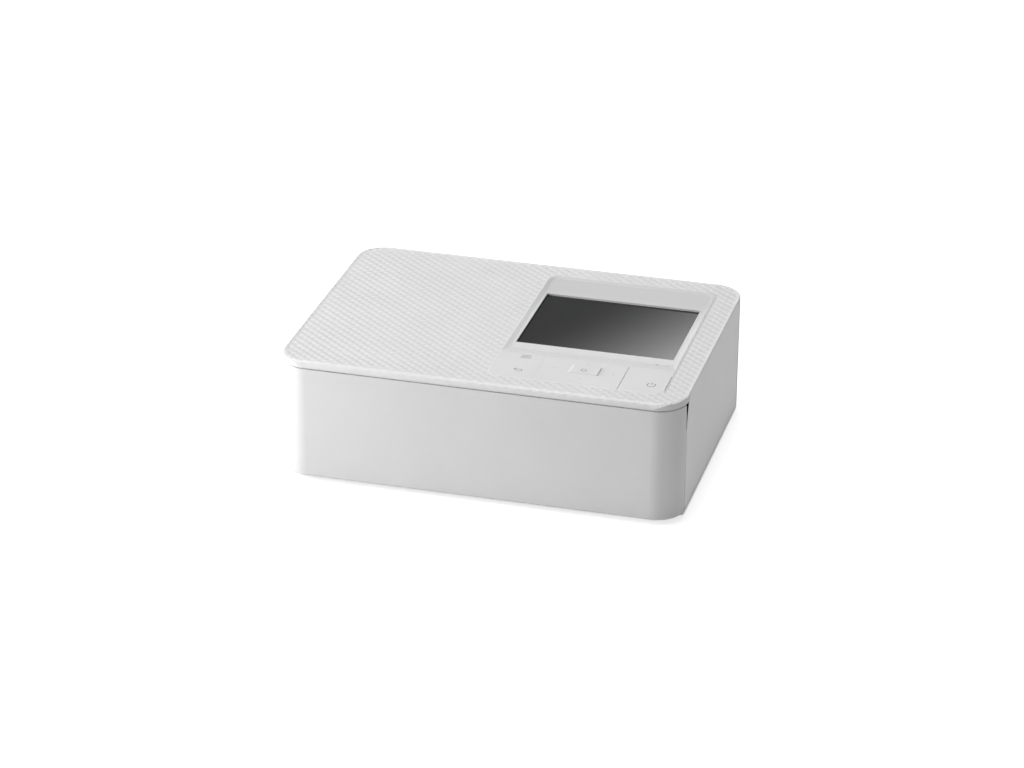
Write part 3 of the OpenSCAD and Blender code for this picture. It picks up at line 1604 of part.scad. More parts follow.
top_cover();
base_case();
front_cover();
side_cover();
left_panel();
rear_case();
front_frame();
feet();
case_screws();
cover_pins();
lcd_window();
lcd_module();
lcd_bracket();
menu_back_key();
nav_key();
ok_key();
power_key();
key_board();
tact_switches();
left_side_frame();
right_side_frame();
front_crossbar();
rear_crossbar();
cassette_rails();
chassis_screws();
shaft_bushes();
pickup_shaft();
pickup_tyres();
pickup_gear();
grip_roller();
grip_gear();
pinch_roller();
platen_shaft();
platen_roller();
thermal_head();
heat_sink();
head_bracket();
head_pivots();
paper_guide_lower();
paper_guide_upper();
ribbon_cassette();
ribbon_film();
supply_spool();
supply_roll();
take_up_spool();
take_up_roll();
take_up_gear();
feed_motor();
motor_bracket();
motor_pinion();
idler_gear_front();
idler_gear_middle();
idler_gear_rear();
idler_studs();
main_board();
board_parts();
sd_socket();
usb_a_socket();
usb_c_socket();
dc_jack();
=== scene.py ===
import json
import math

import bmesh
import bpy
import numpy as np
from mathutils import Matrix, Vector


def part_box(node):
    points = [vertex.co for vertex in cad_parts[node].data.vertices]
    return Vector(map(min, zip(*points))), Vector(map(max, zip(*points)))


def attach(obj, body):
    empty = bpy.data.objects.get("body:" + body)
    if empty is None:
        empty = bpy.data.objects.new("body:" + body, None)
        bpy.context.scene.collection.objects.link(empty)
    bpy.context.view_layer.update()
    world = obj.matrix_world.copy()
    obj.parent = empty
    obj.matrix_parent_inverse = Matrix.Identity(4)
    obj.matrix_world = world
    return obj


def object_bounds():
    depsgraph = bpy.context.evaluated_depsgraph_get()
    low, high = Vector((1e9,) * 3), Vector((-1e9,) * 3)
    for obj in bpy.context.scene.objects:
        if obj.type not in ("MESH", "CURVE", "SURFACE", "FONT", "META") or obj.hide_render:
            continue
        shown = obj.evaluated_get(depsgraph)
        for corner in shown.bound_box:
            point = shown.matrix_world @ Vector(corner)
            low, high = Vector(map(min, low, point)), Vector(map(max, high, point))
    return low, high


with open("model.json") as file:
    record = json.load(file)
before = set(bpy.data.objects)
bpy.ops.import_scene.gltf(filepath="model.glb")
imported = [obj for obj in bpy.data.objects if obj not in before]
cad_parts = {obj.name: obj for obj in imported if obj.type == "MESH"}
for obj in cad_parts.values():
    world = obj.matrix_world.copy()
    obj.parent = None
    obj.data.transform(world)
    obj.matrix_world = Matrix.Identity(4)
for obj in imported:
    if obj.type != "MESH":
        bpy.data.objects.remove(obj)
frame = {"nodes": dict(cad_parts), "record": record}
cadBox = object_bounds()
nodes = frame["nodes"]
mm = 0.001


def linear(hexColour):
    # sRGB hex to linear light: c/12.92 at the dark end, ((c + 0.055)/1.055)^2.4 above it
    c = np.array([int(hexColour[i:i + 2], 16) / 255 for i in (1, 3, 5)])
    c = np.where(c <= 0.04045, c / 12.92, ((c + 0.055) / 1.055) ** 2.4)
    return tuple(float(v) for v in c) + (1.0,)


def addNode(tree, kind, settings=None, links=None):
    # a node with its settings (sockets by name or number, else properties; stops fill a ramp)
    # and its links, socket: (node, output)
    made = tree.nodes.new(kind)
    for name, value in (settings or {}).items():
        if name == "stops":
            ramp = made.color_ramp
            while len(ramp.elements) < len(value):
                ramp.elements.new(0.5)
            for element, (place, colour) in zip(ramp.elements, value):
                element.position = place
                element.color = linear(colour)
        elif isinstance(name, int) or name in made.inputs.keys():
            made.inputs[name].default_value = value
        else:
            setattr(made, name, value)
    for name, (source, output) in (links or {}).items():
        tree.links.new(source.outputs[output], made.inputs[name])
    return made


def newMaterial(name, settings):
    # an empty material with one Principled shader, its tree and object coordinates
    mat = bpy.data.materials.new(name)
    mat.use_nodes = True
    tree = mat.node_tree
    tree.nodes.clear()
    shader = addNode(tree, "ShaderNodeBsdfPrincipled", settings)
    addNode(tree, "ShaderNodeOutputMaterial", links={"Surface": (shader, "BSDF")})
    place = addNode(tree, "ShaderNodeTexCoord")
    return mat, tree, shader, place


def perMetre(millimetres):
    # a texture scale that gives one feature per so many millimetres
    return 1000 / millimetres


def mouldedFinish(name, look):
    # moulded plastic or rubber: two close tones in slow clouds, a fine spark-eroded grain
    # as bump, and a gloss that wanders a little with the grain
    mat, tree, shader, place = newMaterial(name, {
        "IOR": look["ior"], "Specular IOR Level": look.get("specular", 0.5)})
    clouds = addNode(tree, "ShaderNodeTexNoise",
                     {"Scale": perMetre(look["cloudMm"]), "Detail": 3.0, "Roughness": 0.55},
                     {"Vector": (place, "Object")})
    tones = addNode(tree, "ShaderNodeValToRGB",
                    {"stops": [(0.3, look["dark"]), (0.7, look["light"])]},
                    {"Fac": (clouds, "Fac")})
    grain = addNode(tree, "ShaderNodeTexNoise",
                    {"Scale": perMetre(look["grainMm"]), "Detail": 2.0, "Roughness": 0.6},
                    {"Vector": (place, "Object")})
    gloss = addNode(tree, "ShaderNodeMapRange",
                    {"From Min": 0.3, "From Max": 0.7,
                     "To Min": look["roughness"][0], "To Max": look["roughness"][1]},
                    {"Value": (grain, "Fac")})
    bump = addNode(tree, "ShaderNodeBump",
                   {"Strength": look["bump"], "Distance": look["grainDeepMm"] * mm},
                   {"Height": (grain, "Fac")})
    tree.links.new(tones.outputs["Color"], shader.inputs["Base Color"])
    tree.links.new(gloss.outputs["Result"], shader.inputs["Roughness"])
    tree.links.new(bump.outputs["Normal"], shader.inputs["Normal"])
    return mat


def turnedMetal(name, look):
    # ground, drawn or plated metal: noise in colour, gloss and bump. Where the stretch is below
    # one along an axis it changes slowly that way, which draws it out into fine lines
    mat, tree, shader, place = newMaterial(name, {"Metallic": 1.0})
    stretch = addNode(tree, "ShaderNodeMapping", {"Scale": look["stretch"]},
                      {"Vector": (place, "Object")})
    lines = addNode(tree, "ShaderNodeTexNoise",
                    {"Scale": perMetre(look["lineMm"]), "Detail": 2.0, "Roughness": 0.5},
                    {"Vector": (stretch, "Vector")})
    tones = addNode(tree, "ShaderNodeValToRGB",
                    {"stops": [(0.3, look["dark"]), (0.7, look["light"])]},
                    {"Fac": (lines, "Fac")})
    gloss = addNode(tree, "ShaderNodeMapRange",
                    {"From Min": 0.3, "From Max": 0.7,
                     "To Min": look["roughness"][0], "To Max": look["roughness"][1]},
                    {"Value": (lines, "Fac")})
    bump = addNode(tree, "ShaderNodeBump",
                   {"Strength": look["bump"], "Distance": 0.02 * mm},
                   {"Height": (lines, "Fac")})
    tree.links.new(tones.outputs["Color"], shader.inputs["Base Color"])
    tree.links.new(gloss.outputs["Result"], shader.inputs["Roughness"])
    tree.links.new(bump.outputs["Normal"], shader.inputs["Normal"])
    return mat


def spangledSheet(name, look):
    # hot-dip galvanised steel: zinc crystals as cells, each with its own grey and gloss,
    # over a fine cloud of oxide
    mat, tree, shader, place = newMaterial(name, {"Metallic": 1.0})
    cells = addNode(tree, "ShaderNodeTexVoronoi", {"Scale": perMetre(look["spangleMm"])},
                    {"Vector": (place, "Object")})
    oxide = addNode(tree, "ShaderNodeTexNoise",
                    {"Scale": perMetre(look["oxideMm"]), "Detail": 4.0},
                    {"Vector": (place, "Object")})
    blend = addNode(tree, "ShaderNodeMath", {"operation": "MULTIPLY_ADD", 1: 0.5},
                    {0: (cells, "Color"), 2: (oxide, "Fac")})
    tones = addNode(tree, "ShaderNodeValToRGB",
                    {"stops": [(0.35, look["dark"]), (0.9, look["light"])]},
                    {"Fac": (blend, "Value")})
    gloss = addNode(tree, "ShaderNodeMapRange",
                    {"From Min": 0.35, "From Max": 0.9,
                     "To Min": look["roughness"][1], "To Max": look["roughness"][0]},
                    {"Value": (blend, "Value")})
    tree.links.new(tones.outputs["Color"], shader.inputs["Base Color"])
    tree.links.new(gloss.outputs["Result"], shader.inputs["Roughness"])
    return mat


def maskedBoard(name, look):
    # circuit board: solder mask over glass fibre, with the copper below it showing as
    # straight paler tracks and small round vias
    mat, tree, shader, place = newMaterial(name, {"Roughness": look["roughness"],
                                                  "IOR": 1.5})
    tracks = addNode(tree, "ShaderNodeTexBrick",
                     {"Scale": 1.0, "Brick Width": look["runMm"] * mm,
                      "Row Height": look["trackMm"] * mm,
                      "Mortar Size": 0.14 * mm, "Mortar Smooth": 0.2, "Bias": -0.2,
                      "Color1": linear(look["mask"]), "Color2": linear(look["overCopper"]),
                      "Mortar": linear(look["gap"])},
                     {"Vector": (place, "Object")})
    vias = addNode(tree, "ShaderNodeTexVoronoi", {"Scale": perMetre(look["viaMm"])},
                   {"Vector": (place, "Object")})
    ring = addNode(tree, "ShaderNodeMath", {"operation": "LESS_THAN", 1: 0.09},
                   {0: (vias, "Distance")})
    mix = addNode(tree, "ShaderNodeMix",
                  {"data_type": "RGBA", 7: linear(look["via"])},
                  {0: (ring, "Value"), 6: (tracks, "Color")})
    bump = addNode(tree, "ShaderNodeBump", {"Strength": 0.3, "Distance": 0.03 * mm},
                   {"Height": (tracks, "Fac")})
    tree.links.new(mix.outputs[2], shader.inputs["Base Color"])
    tree.links.new(bump.outputs["Normal"], shader.inputs["Normal"])
    return mat


def glossWindow(name, look):
    # hard-coated acrylic, painted black from behind: a deep black with a clear, even gloss,
    # and faint dust that only breaks the gloss
    mat, tree, shader, place = newMaterial(name, {
        "Base Color": linear(look["black"]), "IOR": look["ior"], "Specular IOR Level": 0.5})
    dust = addNode(tree, "ShaderNodeTexNoise",
                   {"Scale": perMetre(look["dustMm"]), "Detail": 5.0, "Roughness": 0.7},
                   {"Vector": (place, "Object")})
    gloss = addNode(tree, "ShaderNodeMapRange",
                    {"From Min": 0.4, "From Max": 0.8,
                     "To Min": look["roughness"][0], "To Max": look["roughness"][1]},
                    {"Value": (dust, "Fac")})
    tree.links.new(gloss.outputs["Result"], shader.inputs["Roughness"])
    return mat


def coatedFilm(name, look):
    # dye film: thin polyester with a dye coat, glossy, with fine wind marks along its run
    mat, tree, shader, place = newMaterial(name, {"IOR": 1.6, "Coat Weight": 0.3,
                                                  "Coat Roughness": 0.12})
    marks = addNode(tree, "ShaderNodeTexNoise",
                    {"Scale": perMetre(look["markMm"]), "Detail": 2.0},
                    {"Vector": (place, "Object")})
    tones = addNode(tree, "ShaderNodeValToRGB",
                    {"stops": [(0.35, look["dark"]), (0.65, look["light"])]},
                    {"Fac": (marks, "Fac")})
    gloss = addNode(tree, "ShaderNodeMapRange", {"To Min": 0.18, "To Max": 0.34},
                    {"Value": (marks, "Fac")})
    tree.links.new(tones.outputs["Color"], shader.inputs["Base Color"])
    tree.links.new(gloss.outputs["Result"], shader.inputs["Roughness"])
    return mat


finishes = {
    # ABS, injection moulded in a spark-eroded tool: satin white, the grain only just breaks
    # the gloss
    "white_shell": mouldedFinish("mouldedWhiteAbs", {
        "dark": "#E4E4E4", "light": "#E8E8E8", "cloudMm": 30, "grainMm": 0.35,
        "grainDeepMm": 0.012, "bump": 0.25, "roughness": (0.36, 0.44), "ior": 1.53}),
    # ABS inner parts, moulded in a plain tool: pale grey with flow clouds
    "grey_plastic": mouldedFinish("mouldedGreyAbs", {
        "dark": "#B9BBBC", "light": "#C6C8C9", "cloudMm": 14, "grainMm": 0.5, "grainDeepMm": 0.02,
        "bump": 0.3, "roughness": (0.42, 0.55), "ior": 1.53}),
    # thermoplastic rubber feet: matt dark grey with a dusty bloom
    "foot_rubber": mouldedFinish("mouldedFootRubber", {
        "dark": "#3C3D3F", "light": "#4B4C4E", "cloudMm": 4, "grainMm": 0.3, "grainDeepMm": 0.05,
        "bump": 0.6, "roughness": (0.75, 0.9), "ior": 1.5}),
    # ground EPDM rubber of the rollers: matt, with the grinding grain
    "roller_rubber": mouldedFinish("groundRollerRubber", {
        "dark": "#37393B", "light": "#47494B", "cloudMm": 2.5, "grainMm": 0.25, "grainDeepMm": 0.05,
        "bump": 0.7, "roughness": (0.7, 0.85), "ior": 1.5}),
    # zinc-plated steel screws: bright with a cool, uneven passivation
    "zinc_screw": turnedMetal("zincPlatedSteel", {
        "dark": "#A9AFB6", "light": "#C9CDD0", "stretch": (1, 1, 1), "lineMm": 1.2,
        "bump": 0.15, "roughness": (0.25, 0.4)}),
    # centreless-ground steel shafts: bright, with fine lines round the axis
    "bright_steel": turnedMetal("groundShaftSteel", {
        "dark": "#B4B7BA", "light": "#D2D4D5", "stretch": (1, 0.03, 0.03), "lineMm": 0.4,
        "bump": 0.3, "roughness": (0.16, 0.3)}),
    # galvanised sheet steel: flat grey crystals
    "galvanised_sheet": spangledSheet("galvanisedSheetSteel", {
        "dark": "#8F9498", "light": "#C2C6C8", "spangleMm": 5, "oxideMm": 9,
        "roughness": (0.3, 0.48)}),
    # hard-coated acrylic window, black behind
    "screen_window": glossWindow("coatedBlackAcrylic", {
        "black": "#0E0F11", "dustMm": 1.5, "roughness": (0.05, 0.09), "ior": 1.5}),
    # black foil and steel frame of the display
    "display_frame": mouldedFinish("blackenedDisplayFrame", {
        "dark": "#2A2C2F", "light": "#35373A", "cloudMm": 8, "grainMm": 0.5, "grainDeepMm": 0.02,
        "bump": 0.2, "roughness": (0.4, 0.5), "ior": 1.5}),
    # solder mask on glass fibre board
    "circuit_board": maskedBoard("greenMaskedBoard", {
        "mask": "#1E5A3A", "overCopper": "#2B7A4E", "gap": "#17452D", "via": "#B9A76A",
        "runMm": 9, "trackMm": 1.1, "viaMm": 5, "roughness": 0.32}),
    # black moulded nylon and chip resin
    "black_plastic": mouldedFinish("mouldedBlackNylon", {
        "dark": "#1C1D1F", "light": "#26272A", "cloudMm": 6, "grainMm": 0.4, "grainDeepMm": 0.02,
        "bump": 0.3, "roughness": (0.38, 0.5), "ior": 1.53}),
    # acetal gears and bushes: milky white, waxy
    "white_acetal": mouldedFinish("mouldedWhiteAcetal", {
        "dark": "#DCDAD2", "light": "#E6E4DD", "cloudMm": 5, "grainMm": 0.6, "grainDeepMm": 0.01,
        "bump": 0.15, "roughness": (0.28, 0.36), "ior": 1.48}),
    # dye film on its spools: glossy magenta brown
    "ink_film": coatedFilm("dyeCoatedPolyester", {
        "dark": "#5E2440", "light": "#743150", "markMm": 3}),
    # glazed ceramic and resin of the print head
    "head_carrier": mouldedFinish("glazedHeadCeramic", {
        "dark": "#4A4440", "light": "#5A534D", "cloudMm": 7, "grainMm": 0.5, "grainDeepMm": 0.01,
        "bump": 0.2, "roughness": (0.2, 0.32), "ior": 1.6}),
    # extruded aluminium heat sink: pale, drawn lines along its length
    "aluminium": turnedMetal("extrudedAluminium", {
        "dark": "#B9BBBD", "light": "#D6D7D8", "stretch": (0.02, 1, 1), "lineMm": 0.5,
        "bump": 0.3, "roughness": (0.3, 0.42)}),
    # deep-drawn, zinc-plated motor can
    "motor_can": turnedMetal("drawnMotorSteel", {
        "dark": "#9DA2A6", "light": "#BCC0C3", "stretch": (1, 0.15, 0.15), "lineMm": 1.5,
        "bump": 0.2, "roughness": (0.28, 0.4)}),
    # turned brass pinion
    "brass": turnedMetal("turnedBrass", {
        "dark": "#B08D45", "light": "#D2B066", "stretch": (1, 0.1, 0.1), "lineMm": 0.3,
        "bump": 0.3, "roughness": (0.22, 0.34)}),
    # nickel-plated socket shells
    "socket_shell": turnedMetal("nickelPlatedShell", {
        "dark": "#B5B3AC", "light": "#CFCDC6", "stretch": (1, 1, 1), "lineMm": 2,
        "bump": 0.1, "roughness": (0.2, 0.32)}),
}
slotOf = {entry["node"]: entry["material_slot"] for entry in frame["record"]["subparts"]}
for nodeName, obj in nodes.items():
    finish = finishes[slotOf[nodeName]]
    if not obj.data.materials:
        obj.data.materials.append(finish)
    for i in range(len(obj.data.materials)):
        obj.data.materials[i] = finish
print("materials: %d finishes" % len(finishes))

# the patterned skin that lies in the lid's shallow bed
skinLook = {
    "edge": 0.6 * mm,  # from the lid's edge to the pattern, at the sides and the rear
    "front": 0.5 * mm,  # and at the front
    "lidRadius": 13 * mm,
    "relief": 0.3 * mm,  # depth of the grooves
    "round": 1.5,  # the higher, the softer the grooves
    "proud": 0.01 * mm,  # crests above the rim
    "bedFront": 4 * mm,  # the bed ends so far behind the front edge
    "bedMargin": 0.3 * mm,  # grooves keep so far from the bed's edge
    "least": 0.02 * mm,  # and stay so far above the lid outside it
    "roll": 2.6 * mm,  # radius of the lid's front edge, which the skin follows
    "lift": 0.27 * mm,  # where it leaves the bed it lies on the lid
    "climb": 10 * mm,  # and climbs out over this
    "cellX": 5.15 * mm,  # one diamond, left to right
    "cellY": 4.26 * mm,  # one diamond, front to rear
    "steps": 10,  # grid steps to one cell
    "snap": 0.55,  # points this near the outline, in grid steps, are moved onto it
    "border": 0.5 * mm,  # the pattern rises to the rim over this
    "panel": (1.8 * mm, 80 * mm, -55.5 * mm, 55.5 * mm),
    "panelRadius": 5 * mm,
}
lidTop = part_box("power_key")[1][2]


def roundDistance(x, y, box, radius):
    # signed distance to a rectangle with round corners, negative inside it
    x0, x1, y0, y1 = box
    qx = np.abs(x - (x0 + x1) / 2) - ((x1 - x0) / 2 - radius)
    qy = np.abs(y - (y0 + y1) / 2) - ((y1 - y0) / 2 - radius)
    outside = np.hypot(np.maximum(qx, 0), np.maximum(qy, 0))
    return outside + np.minimum(np.maximum(qx, qy), 0) - radius


def ease(t):
    # 0 below 0 and 1 above 1, with a soft start and end: t squared times three less two t
    t = np.clip(t, 0, 1)
    return t * t * (3 - 2 * t)


def skinDistance(x, y, look):
    # signed distance to the patterned field: inside the lid's outline and outside the panel
    lo, hi = cadBox
    edge = look["edge"]
    outline = (lo[0] + edge, hi[0] - edge, lo[1] + look["front"], hi[1] - edge)
    outer = roundDistance(x, y, outline, look["lidRadius"] - edge)
    inner = roundDistance(x, y, look["panel"], look["panelRadius"])
    return np.maximum(outer, -inner)


def skinLift(x, y, look):
    # how far the skin's crests lie above the rim, and how low its grooves may be: it climbs
    # out of its bed towards the front, and outside the bed no groove goes into the lid
    lo, hi = cadBox
    edge, front = look["edge"], lo[1] + look["bedFront"]
    bedBox = (lo[0] + edge, hi[0] - edge, front, hi[1] - edge)
    bed = roundDistance(x, y, bedBox, look["lidRadius"] - edge)
    crest = look["proud"] + look["lift"] * ease((front + look["climb"] - y) / look["climb"])
    return crest, np.where(bed > -look["bedMargin"], look["least"], -look["relief"])


def reliefSkin(look):
    # a grid of x and y; its height is a power of the product of two cosines whose zeros are
    # the two sets of slanting grooves, so each diamond between four grooves is a low pillow.
    # It is laid along the lid's face and round its front edge, and meets it at the outline.
    # The points next to the outline are moved onto it, and the grid outside it is left out.
    dx, dy = look["cellX"] / look["steps"], look["cellY"] / look["steps"]
    lo, hi = cadBox
    i = np.arange(math.floor(lo[0] / dx), math.ceil(hi[0] / dx) + 1)
    j = np.arange(math.floor(lo[1] / dy), math.ceil(hi[1] / dy) + 1)
    x, y = (g.astype(float) for g in np.meshgrid(i * dx, j * dy))
    step = 0.02 * mm
    for _ in range(2):
        d = skinDistance(x, y, look)
        gx = (skinDistance(x + step, y, look) - skinDistance(x - step, y, look)) / (2 * step)
        gy = (skinDistance(x, y + step, look) - skinDistance(x, y - step, look)) / (2 * step)
        near = np.abs(d) < look["snap"] * max(dx, dy)
        x = np.where(near, x - d * gx, x)
        y = np.where(near, y - d * gy, y)
    d = skinDistance(x, y, look)
    inside = d < step
    a, b = x / look["cellX"] + y / look["cellY"], x / look["cellX"] - y / look["cellY"]
    pillow = np.abs(np.cos(math.pi * a) * np.cos(math.pi * b)) ** look["round"]
    crest, lowest = skinLift(x, y, look)
    height = ease(-d / look["border"]) * np.maximum(crest - look["relief"] * (1 - pillow), lowest)
    roll = np.clip((lo[1] + look["roll"] - y) / look["roll"], 0, 1)  # sine of the face's slope
    level = np.sqrt(1 - roll * roll)
    z = lidTop - look["roll"] * (1 - level) + height * level
    points = np.stack([x, y - height * roll, z], -1).reshape(-1, 3)
    number = np.arange(x.size).reshape(x.shape)
    corners = np.stack([number[:-1, :-1], number[:-1, 1:], number[1:, 1:], number[1:, :-1]], -1)
    corners = corners.reshape(-1, 4)
    kept = inside.reshape(-1)[corners]
    quads = corners[kept.all(1)]
    cut = corners[kept.sum(1) == 3]
    tris = cut[inside.reshape(-1)[cut]].reshape(-1, 3)
    used, renumbered = np.unique(np.concatenate([quads.ravel(), tris.ravel()]),
                                 return_inverse=True)
    quads = renumbered[:quads.size].reshape(-1, 4)
    tris = renumbered[quads.size:].reshape(-1, 3)
    return points[used], quads.tolist() + tris.tolist()


def addPiece(name, points, faces, finish, body, smooth=True):
    # a mesh object at the origin, with its place in its mesh, on one body
    mesh = bpy.data.meshes.new(name)
    mesh.from_pydata(np.asarray(points).tolist(), [], faces)
    mesh.polygons.foreach_set("use_smooth", np.full(len(mesh.polygons), smooth))
    mesh.materials.append(finish)
    mesh.update()
    obj = bpy.data.objects.new(name, mesh)
    bpy.context.scene.collection.objects.link(obj)
    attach(obj, body)
    return obj


skinPoints, skinFaces = reliefSkin(skinLook)
addPiece("relief_skin", skinPoints, skinFaces, finishes["white_shell"], "case")
print("relief skin: %d faces" % len(skinFaces))


def arc(cx, cy, r, start, end, count=24):
    # points of a circle's arc, in degrees
    t = np.radians(np.linspace(start, end, count))
    return np.column_stack([cx + r * np.cos(t), cy + r * np.sin(t)])


# the lid's front rim runs on over the finger notch; all in mm
rimLook = {
    "y": (-55.5, -52.5),
    "z": (54.8, 56.45),
    "inner": 88.6,  # its inner side, in x
    "clear": 0.01,  # its outer side keeps so far inside the case
    "count": 9,  # points along it
}


def rimEnd(look):
    # an outline in plan, whose outer side is the corner's arc, carried straight up
    lo, hi = cadBox
    radius = skinLook["lidRadius"]
    y = np.linspace(*look["y"], look["count"]) * mm
    past = np.maximum(lo[1] + radius - y, 0)  # how far each point is past the arc's beginning
    x = hi[0] - radius + np.sqrt(radius ** 2 - past ** 2) - look["clear"] * mm
    inner = look["inner"] * mm
    outline = np.concatenate([np.column_stack([x, y]), [[inner, y[-1]], [inner, y[0]]]])
    n = len(outline)
    points = np.concatenate([np.column_stack([outline, np.full(n, z * mm)]) for z in look["z"]])
    k = np.arange(n)
    sides = np.column_stack([k, (k + 1) % n, (k + 1) % n + n, k + n])
    return points, sides.tolist() + [(k + n).tolist(), k[::-1].tolist()]


rimPoints, rimFaces = rimEnd(rimLook)
addPiece("rim_end", rimPoints, rimFaces, finishes["white_shell"], "case",
         smooth=False)

# dark strip on the finger notch's edge in the side cover, painted shade where the notch's gap lies
# in shadow; all in mm
notchLook = {
    "start": (-55.2, 41.5),  # where the notch's edge starts, in y and z
    "radius": 31.58,
    "x": (88.95, 91.05),
    "z": (42.5, 54.7),
    "thick": 0.3,
    "sunk": 0.02,  # into the wall behind it
    "count": 16,
}


def notchShadeStrip(look):
    # a thin strip on the notch's edge, an arc in y and z, carried across the wall in x
    startY, startZ = look["start"]
    radius, count, (x0, x1) = look["radius"], look["count"], look["x"]
    z = np.linspace(*look["z"], count)
    y = startY + radius - np.sqrt(radius ** 2 - (z - startZ) ** 2)
    profile = ((x0, look["sunk"]), (x1, look["sunk"]), (x1, -look["thick"]), (x0, -look["thick"]))
    rings = np.stack([np.column_stack([np.full(count, x), y + dy, z]) for x, dy in profile], 1)
    first = np.arange(count - 1)[:, None] * 4 + np.arange(4)[None, :]
    turn = np.arange(count - 1)[:, None] * 4 + (np.arange(4)[None, :] + 1) % 4
    faces = np.stack([first, turn, turn + 4, first + 4], -1).reshape(-1, 4)
    last = 4 * (count - 1)
    caps = [[3, 2, 1, 0], [last, last + 1, last + 2, last + 3]]
    return rings.reshape(-1, 3) * mm, faces.tolist() + caps


# painted shade: a matt black strip on the notch's edge, in place of the shadow in the notch's gap,
# so that the notch reads as a dark slot
notchShadeFinish = mouldedFinish("notchPaintedShade", {
    "dark": "#141415", "light": "#1C1C1E", "cloudMm": 3, "grainMm": 0.3, "grainDeepMm": 0.02,
    "bump": 0.4, "roughness": (0.75, 0.9), "ior": 1.45, "specular": 0.2})
shadeStripPoints, shadeStripFaces = notchShadeStrip(notchLook)
addPiece("notch_shade_strip", shadeStripPoints, shadeStripFaces, notchShadeFinish, "side_door",
         smooth=False)

# printed film in the sunken panel, round the window, darker to the rear by painted shade; all in mm
bezelLook = {
    "floor": (3.85, 77.95, -24.6, 53.4),  # its part on the sunken floor
    "slope": (2.05, 79.75, -24.9, 55.25),  # and up the slopes at the sides and the rear
    "radius": 3.0,  # of its corners on the floor
    "slopeRadius": 4.7,  # and on the slope
    "cornerCount": 9,
    "thick": 0.06,
    "depth": 0.6,  # of the floor below the top
    "rise": 0.3,  # of the slopes
    "openFront": 120,  # no slope at the front: the floor's box is drawn out so far there
    "ramp": (-31, -25),  # from the key strip down to the floor, in y
}


def bezelFilm(look, window):
    # rings of points: up the slope, on the floor and at the window. The outer two are
    # rectangles with round corners, and the inner one is each of their points brought to the
    # window's edge
    def ring(box, radius):
        x0, x1, y0, y1 = box
        corners = ((x1, y1, 0), (x0, y1, 90), (x0, y0, 180), (x1, y0, 270))
        arcs = [arc(cx + radius * (1 if a in (90, 180) else -1),
                    cy + radius * (1 if a > 90 else -1), radius, a, a + 90, look["cornerCount"])
                for cx, cy, a in corners]
        return np.concatenate(arcs)

    lower, upper = ring(look["floor"], look["radius"]), ring(look["slope"], look["slopeRadius"])
    (wx0, wy0, _), (wx1, wy1, _) = window
    inside = np.column_stack([np.clip(lower[:, 0], wx0 / mm, wx1 / mm),
                              np.clip(lower[:, 1], wy0 / mm, wy1 / mm)])
    x0, x1, _, y1 = look["floor"]
    level = (x0, x1, y1 - look["openFront"], y1)
    rings = []
    for flat, thick in ((upper, 0), (upper, 1), (lower, 1), (inside, 1), (inside, 0), (lower, 0)):
        out = np.maximum(roundDistance(flat[:, 0], flat[:, 1], level, look["radius"]), 0)
        z = lidTop / mm - look["depth"] + look["rise"] * out + thick * look["thick"]
        rings.append(np.column_stack([flat, z]))
    n = len(lower)
    k, after = np.arange(n), (np.arange(n) + 1) % n
    faces = [np.column_stack([k + i * n, after + i * n, after + j * n, k + j * n])
             for i, j in zip(range(6), (1, 2, 3, 4, 5, 0))]
    return np.concatenate(rings) * mm, np.concatenate(faces)


def addBezel(look, finish):
    # several corner points fall on one point of the window's edge, and are joined there
    points, faces = bezelFilm(look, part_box("lcd_window"))
    piece = addPiece("bezel_shade_film", points, faces.tolist(), finish, "case",
                     smooth=False)
    nearest = 0.001 * mm
    mesh = bmesh.new()
    mesh.from_mesh(piece.data)
    bmesh.ops.remove_doubles(mesh, verts=mesh.verts, dist=nearest)
    bmesh.ops.dissolve_degenerate(mesh, edges=mesh.edges, dist=nearest)
    mesh.to_mesh(piece.data)
    mesh.free()


def filmPaintedShade(name, look):
    # polyester film, back-printed pale grey, with a fine matt coat; its rear is darker by painted
    # shade, which stands in for a dimmer reflection there
    mat, tree, shader, place = newMaterial(name, {"IOR": 1.5})
    parts = addNode(tree, "ShaderNodeSeparateXYZ", links={0: (place, "Object")})
    along = addNode(tree, "ShaderNodeMapRange",
                    {"From Min": look["fade"][0] * mm, "From Max": look["fade"][1] * mm},
                    {"Value": (parts, "Y")})
    grain = addNode(tree, "ShaderNodeTexNoise",
                    {"Scale": perMetre(look["grainMm"]), "Detail": 2.0},
                    {"Vector": (place, "Object")})
    shade = addNode(tree, "ShaderNodeMath", {"operation": "MULTIPLY_ADD", 1: 0.06},
                    {0: (grain, "Fac"), 2: (along, "Result")})
    tones = addNode(tree, "ShaderNodeValToRGB",
                    {"stops": [(0.0, look["front"]), (1.0, look["rear"])]},
                    {"Fac": (shade, "Value")})
    gloss = addNode(tree, "ShaderNodeMapRange", {"To Min": 0.34, "To Max": 0.42},
                    {"Value": (grain, "Fac")})
    tree.links.new(tones.outputs["Color"], shader.inputs["Base Color"])
    tree.links.new(gloss.outputs["Result"], shader.inputs["Roughness"])
    return mat


# painted shade: the rear tone, darker than the front, stands in for the dimmer reflection behind
# the window
bezelShadeFinish = filmPaintedShade("bezelFilmPaintedShade", {
    "front": "#E6E6E6", "rear": "#D3D3D3", "fade": (12, 42), "grainMm": 0.3})
addBezel(bezelLook, bezelShadeFinish)
print("trim: rim end, notch shade strip and bezel film")

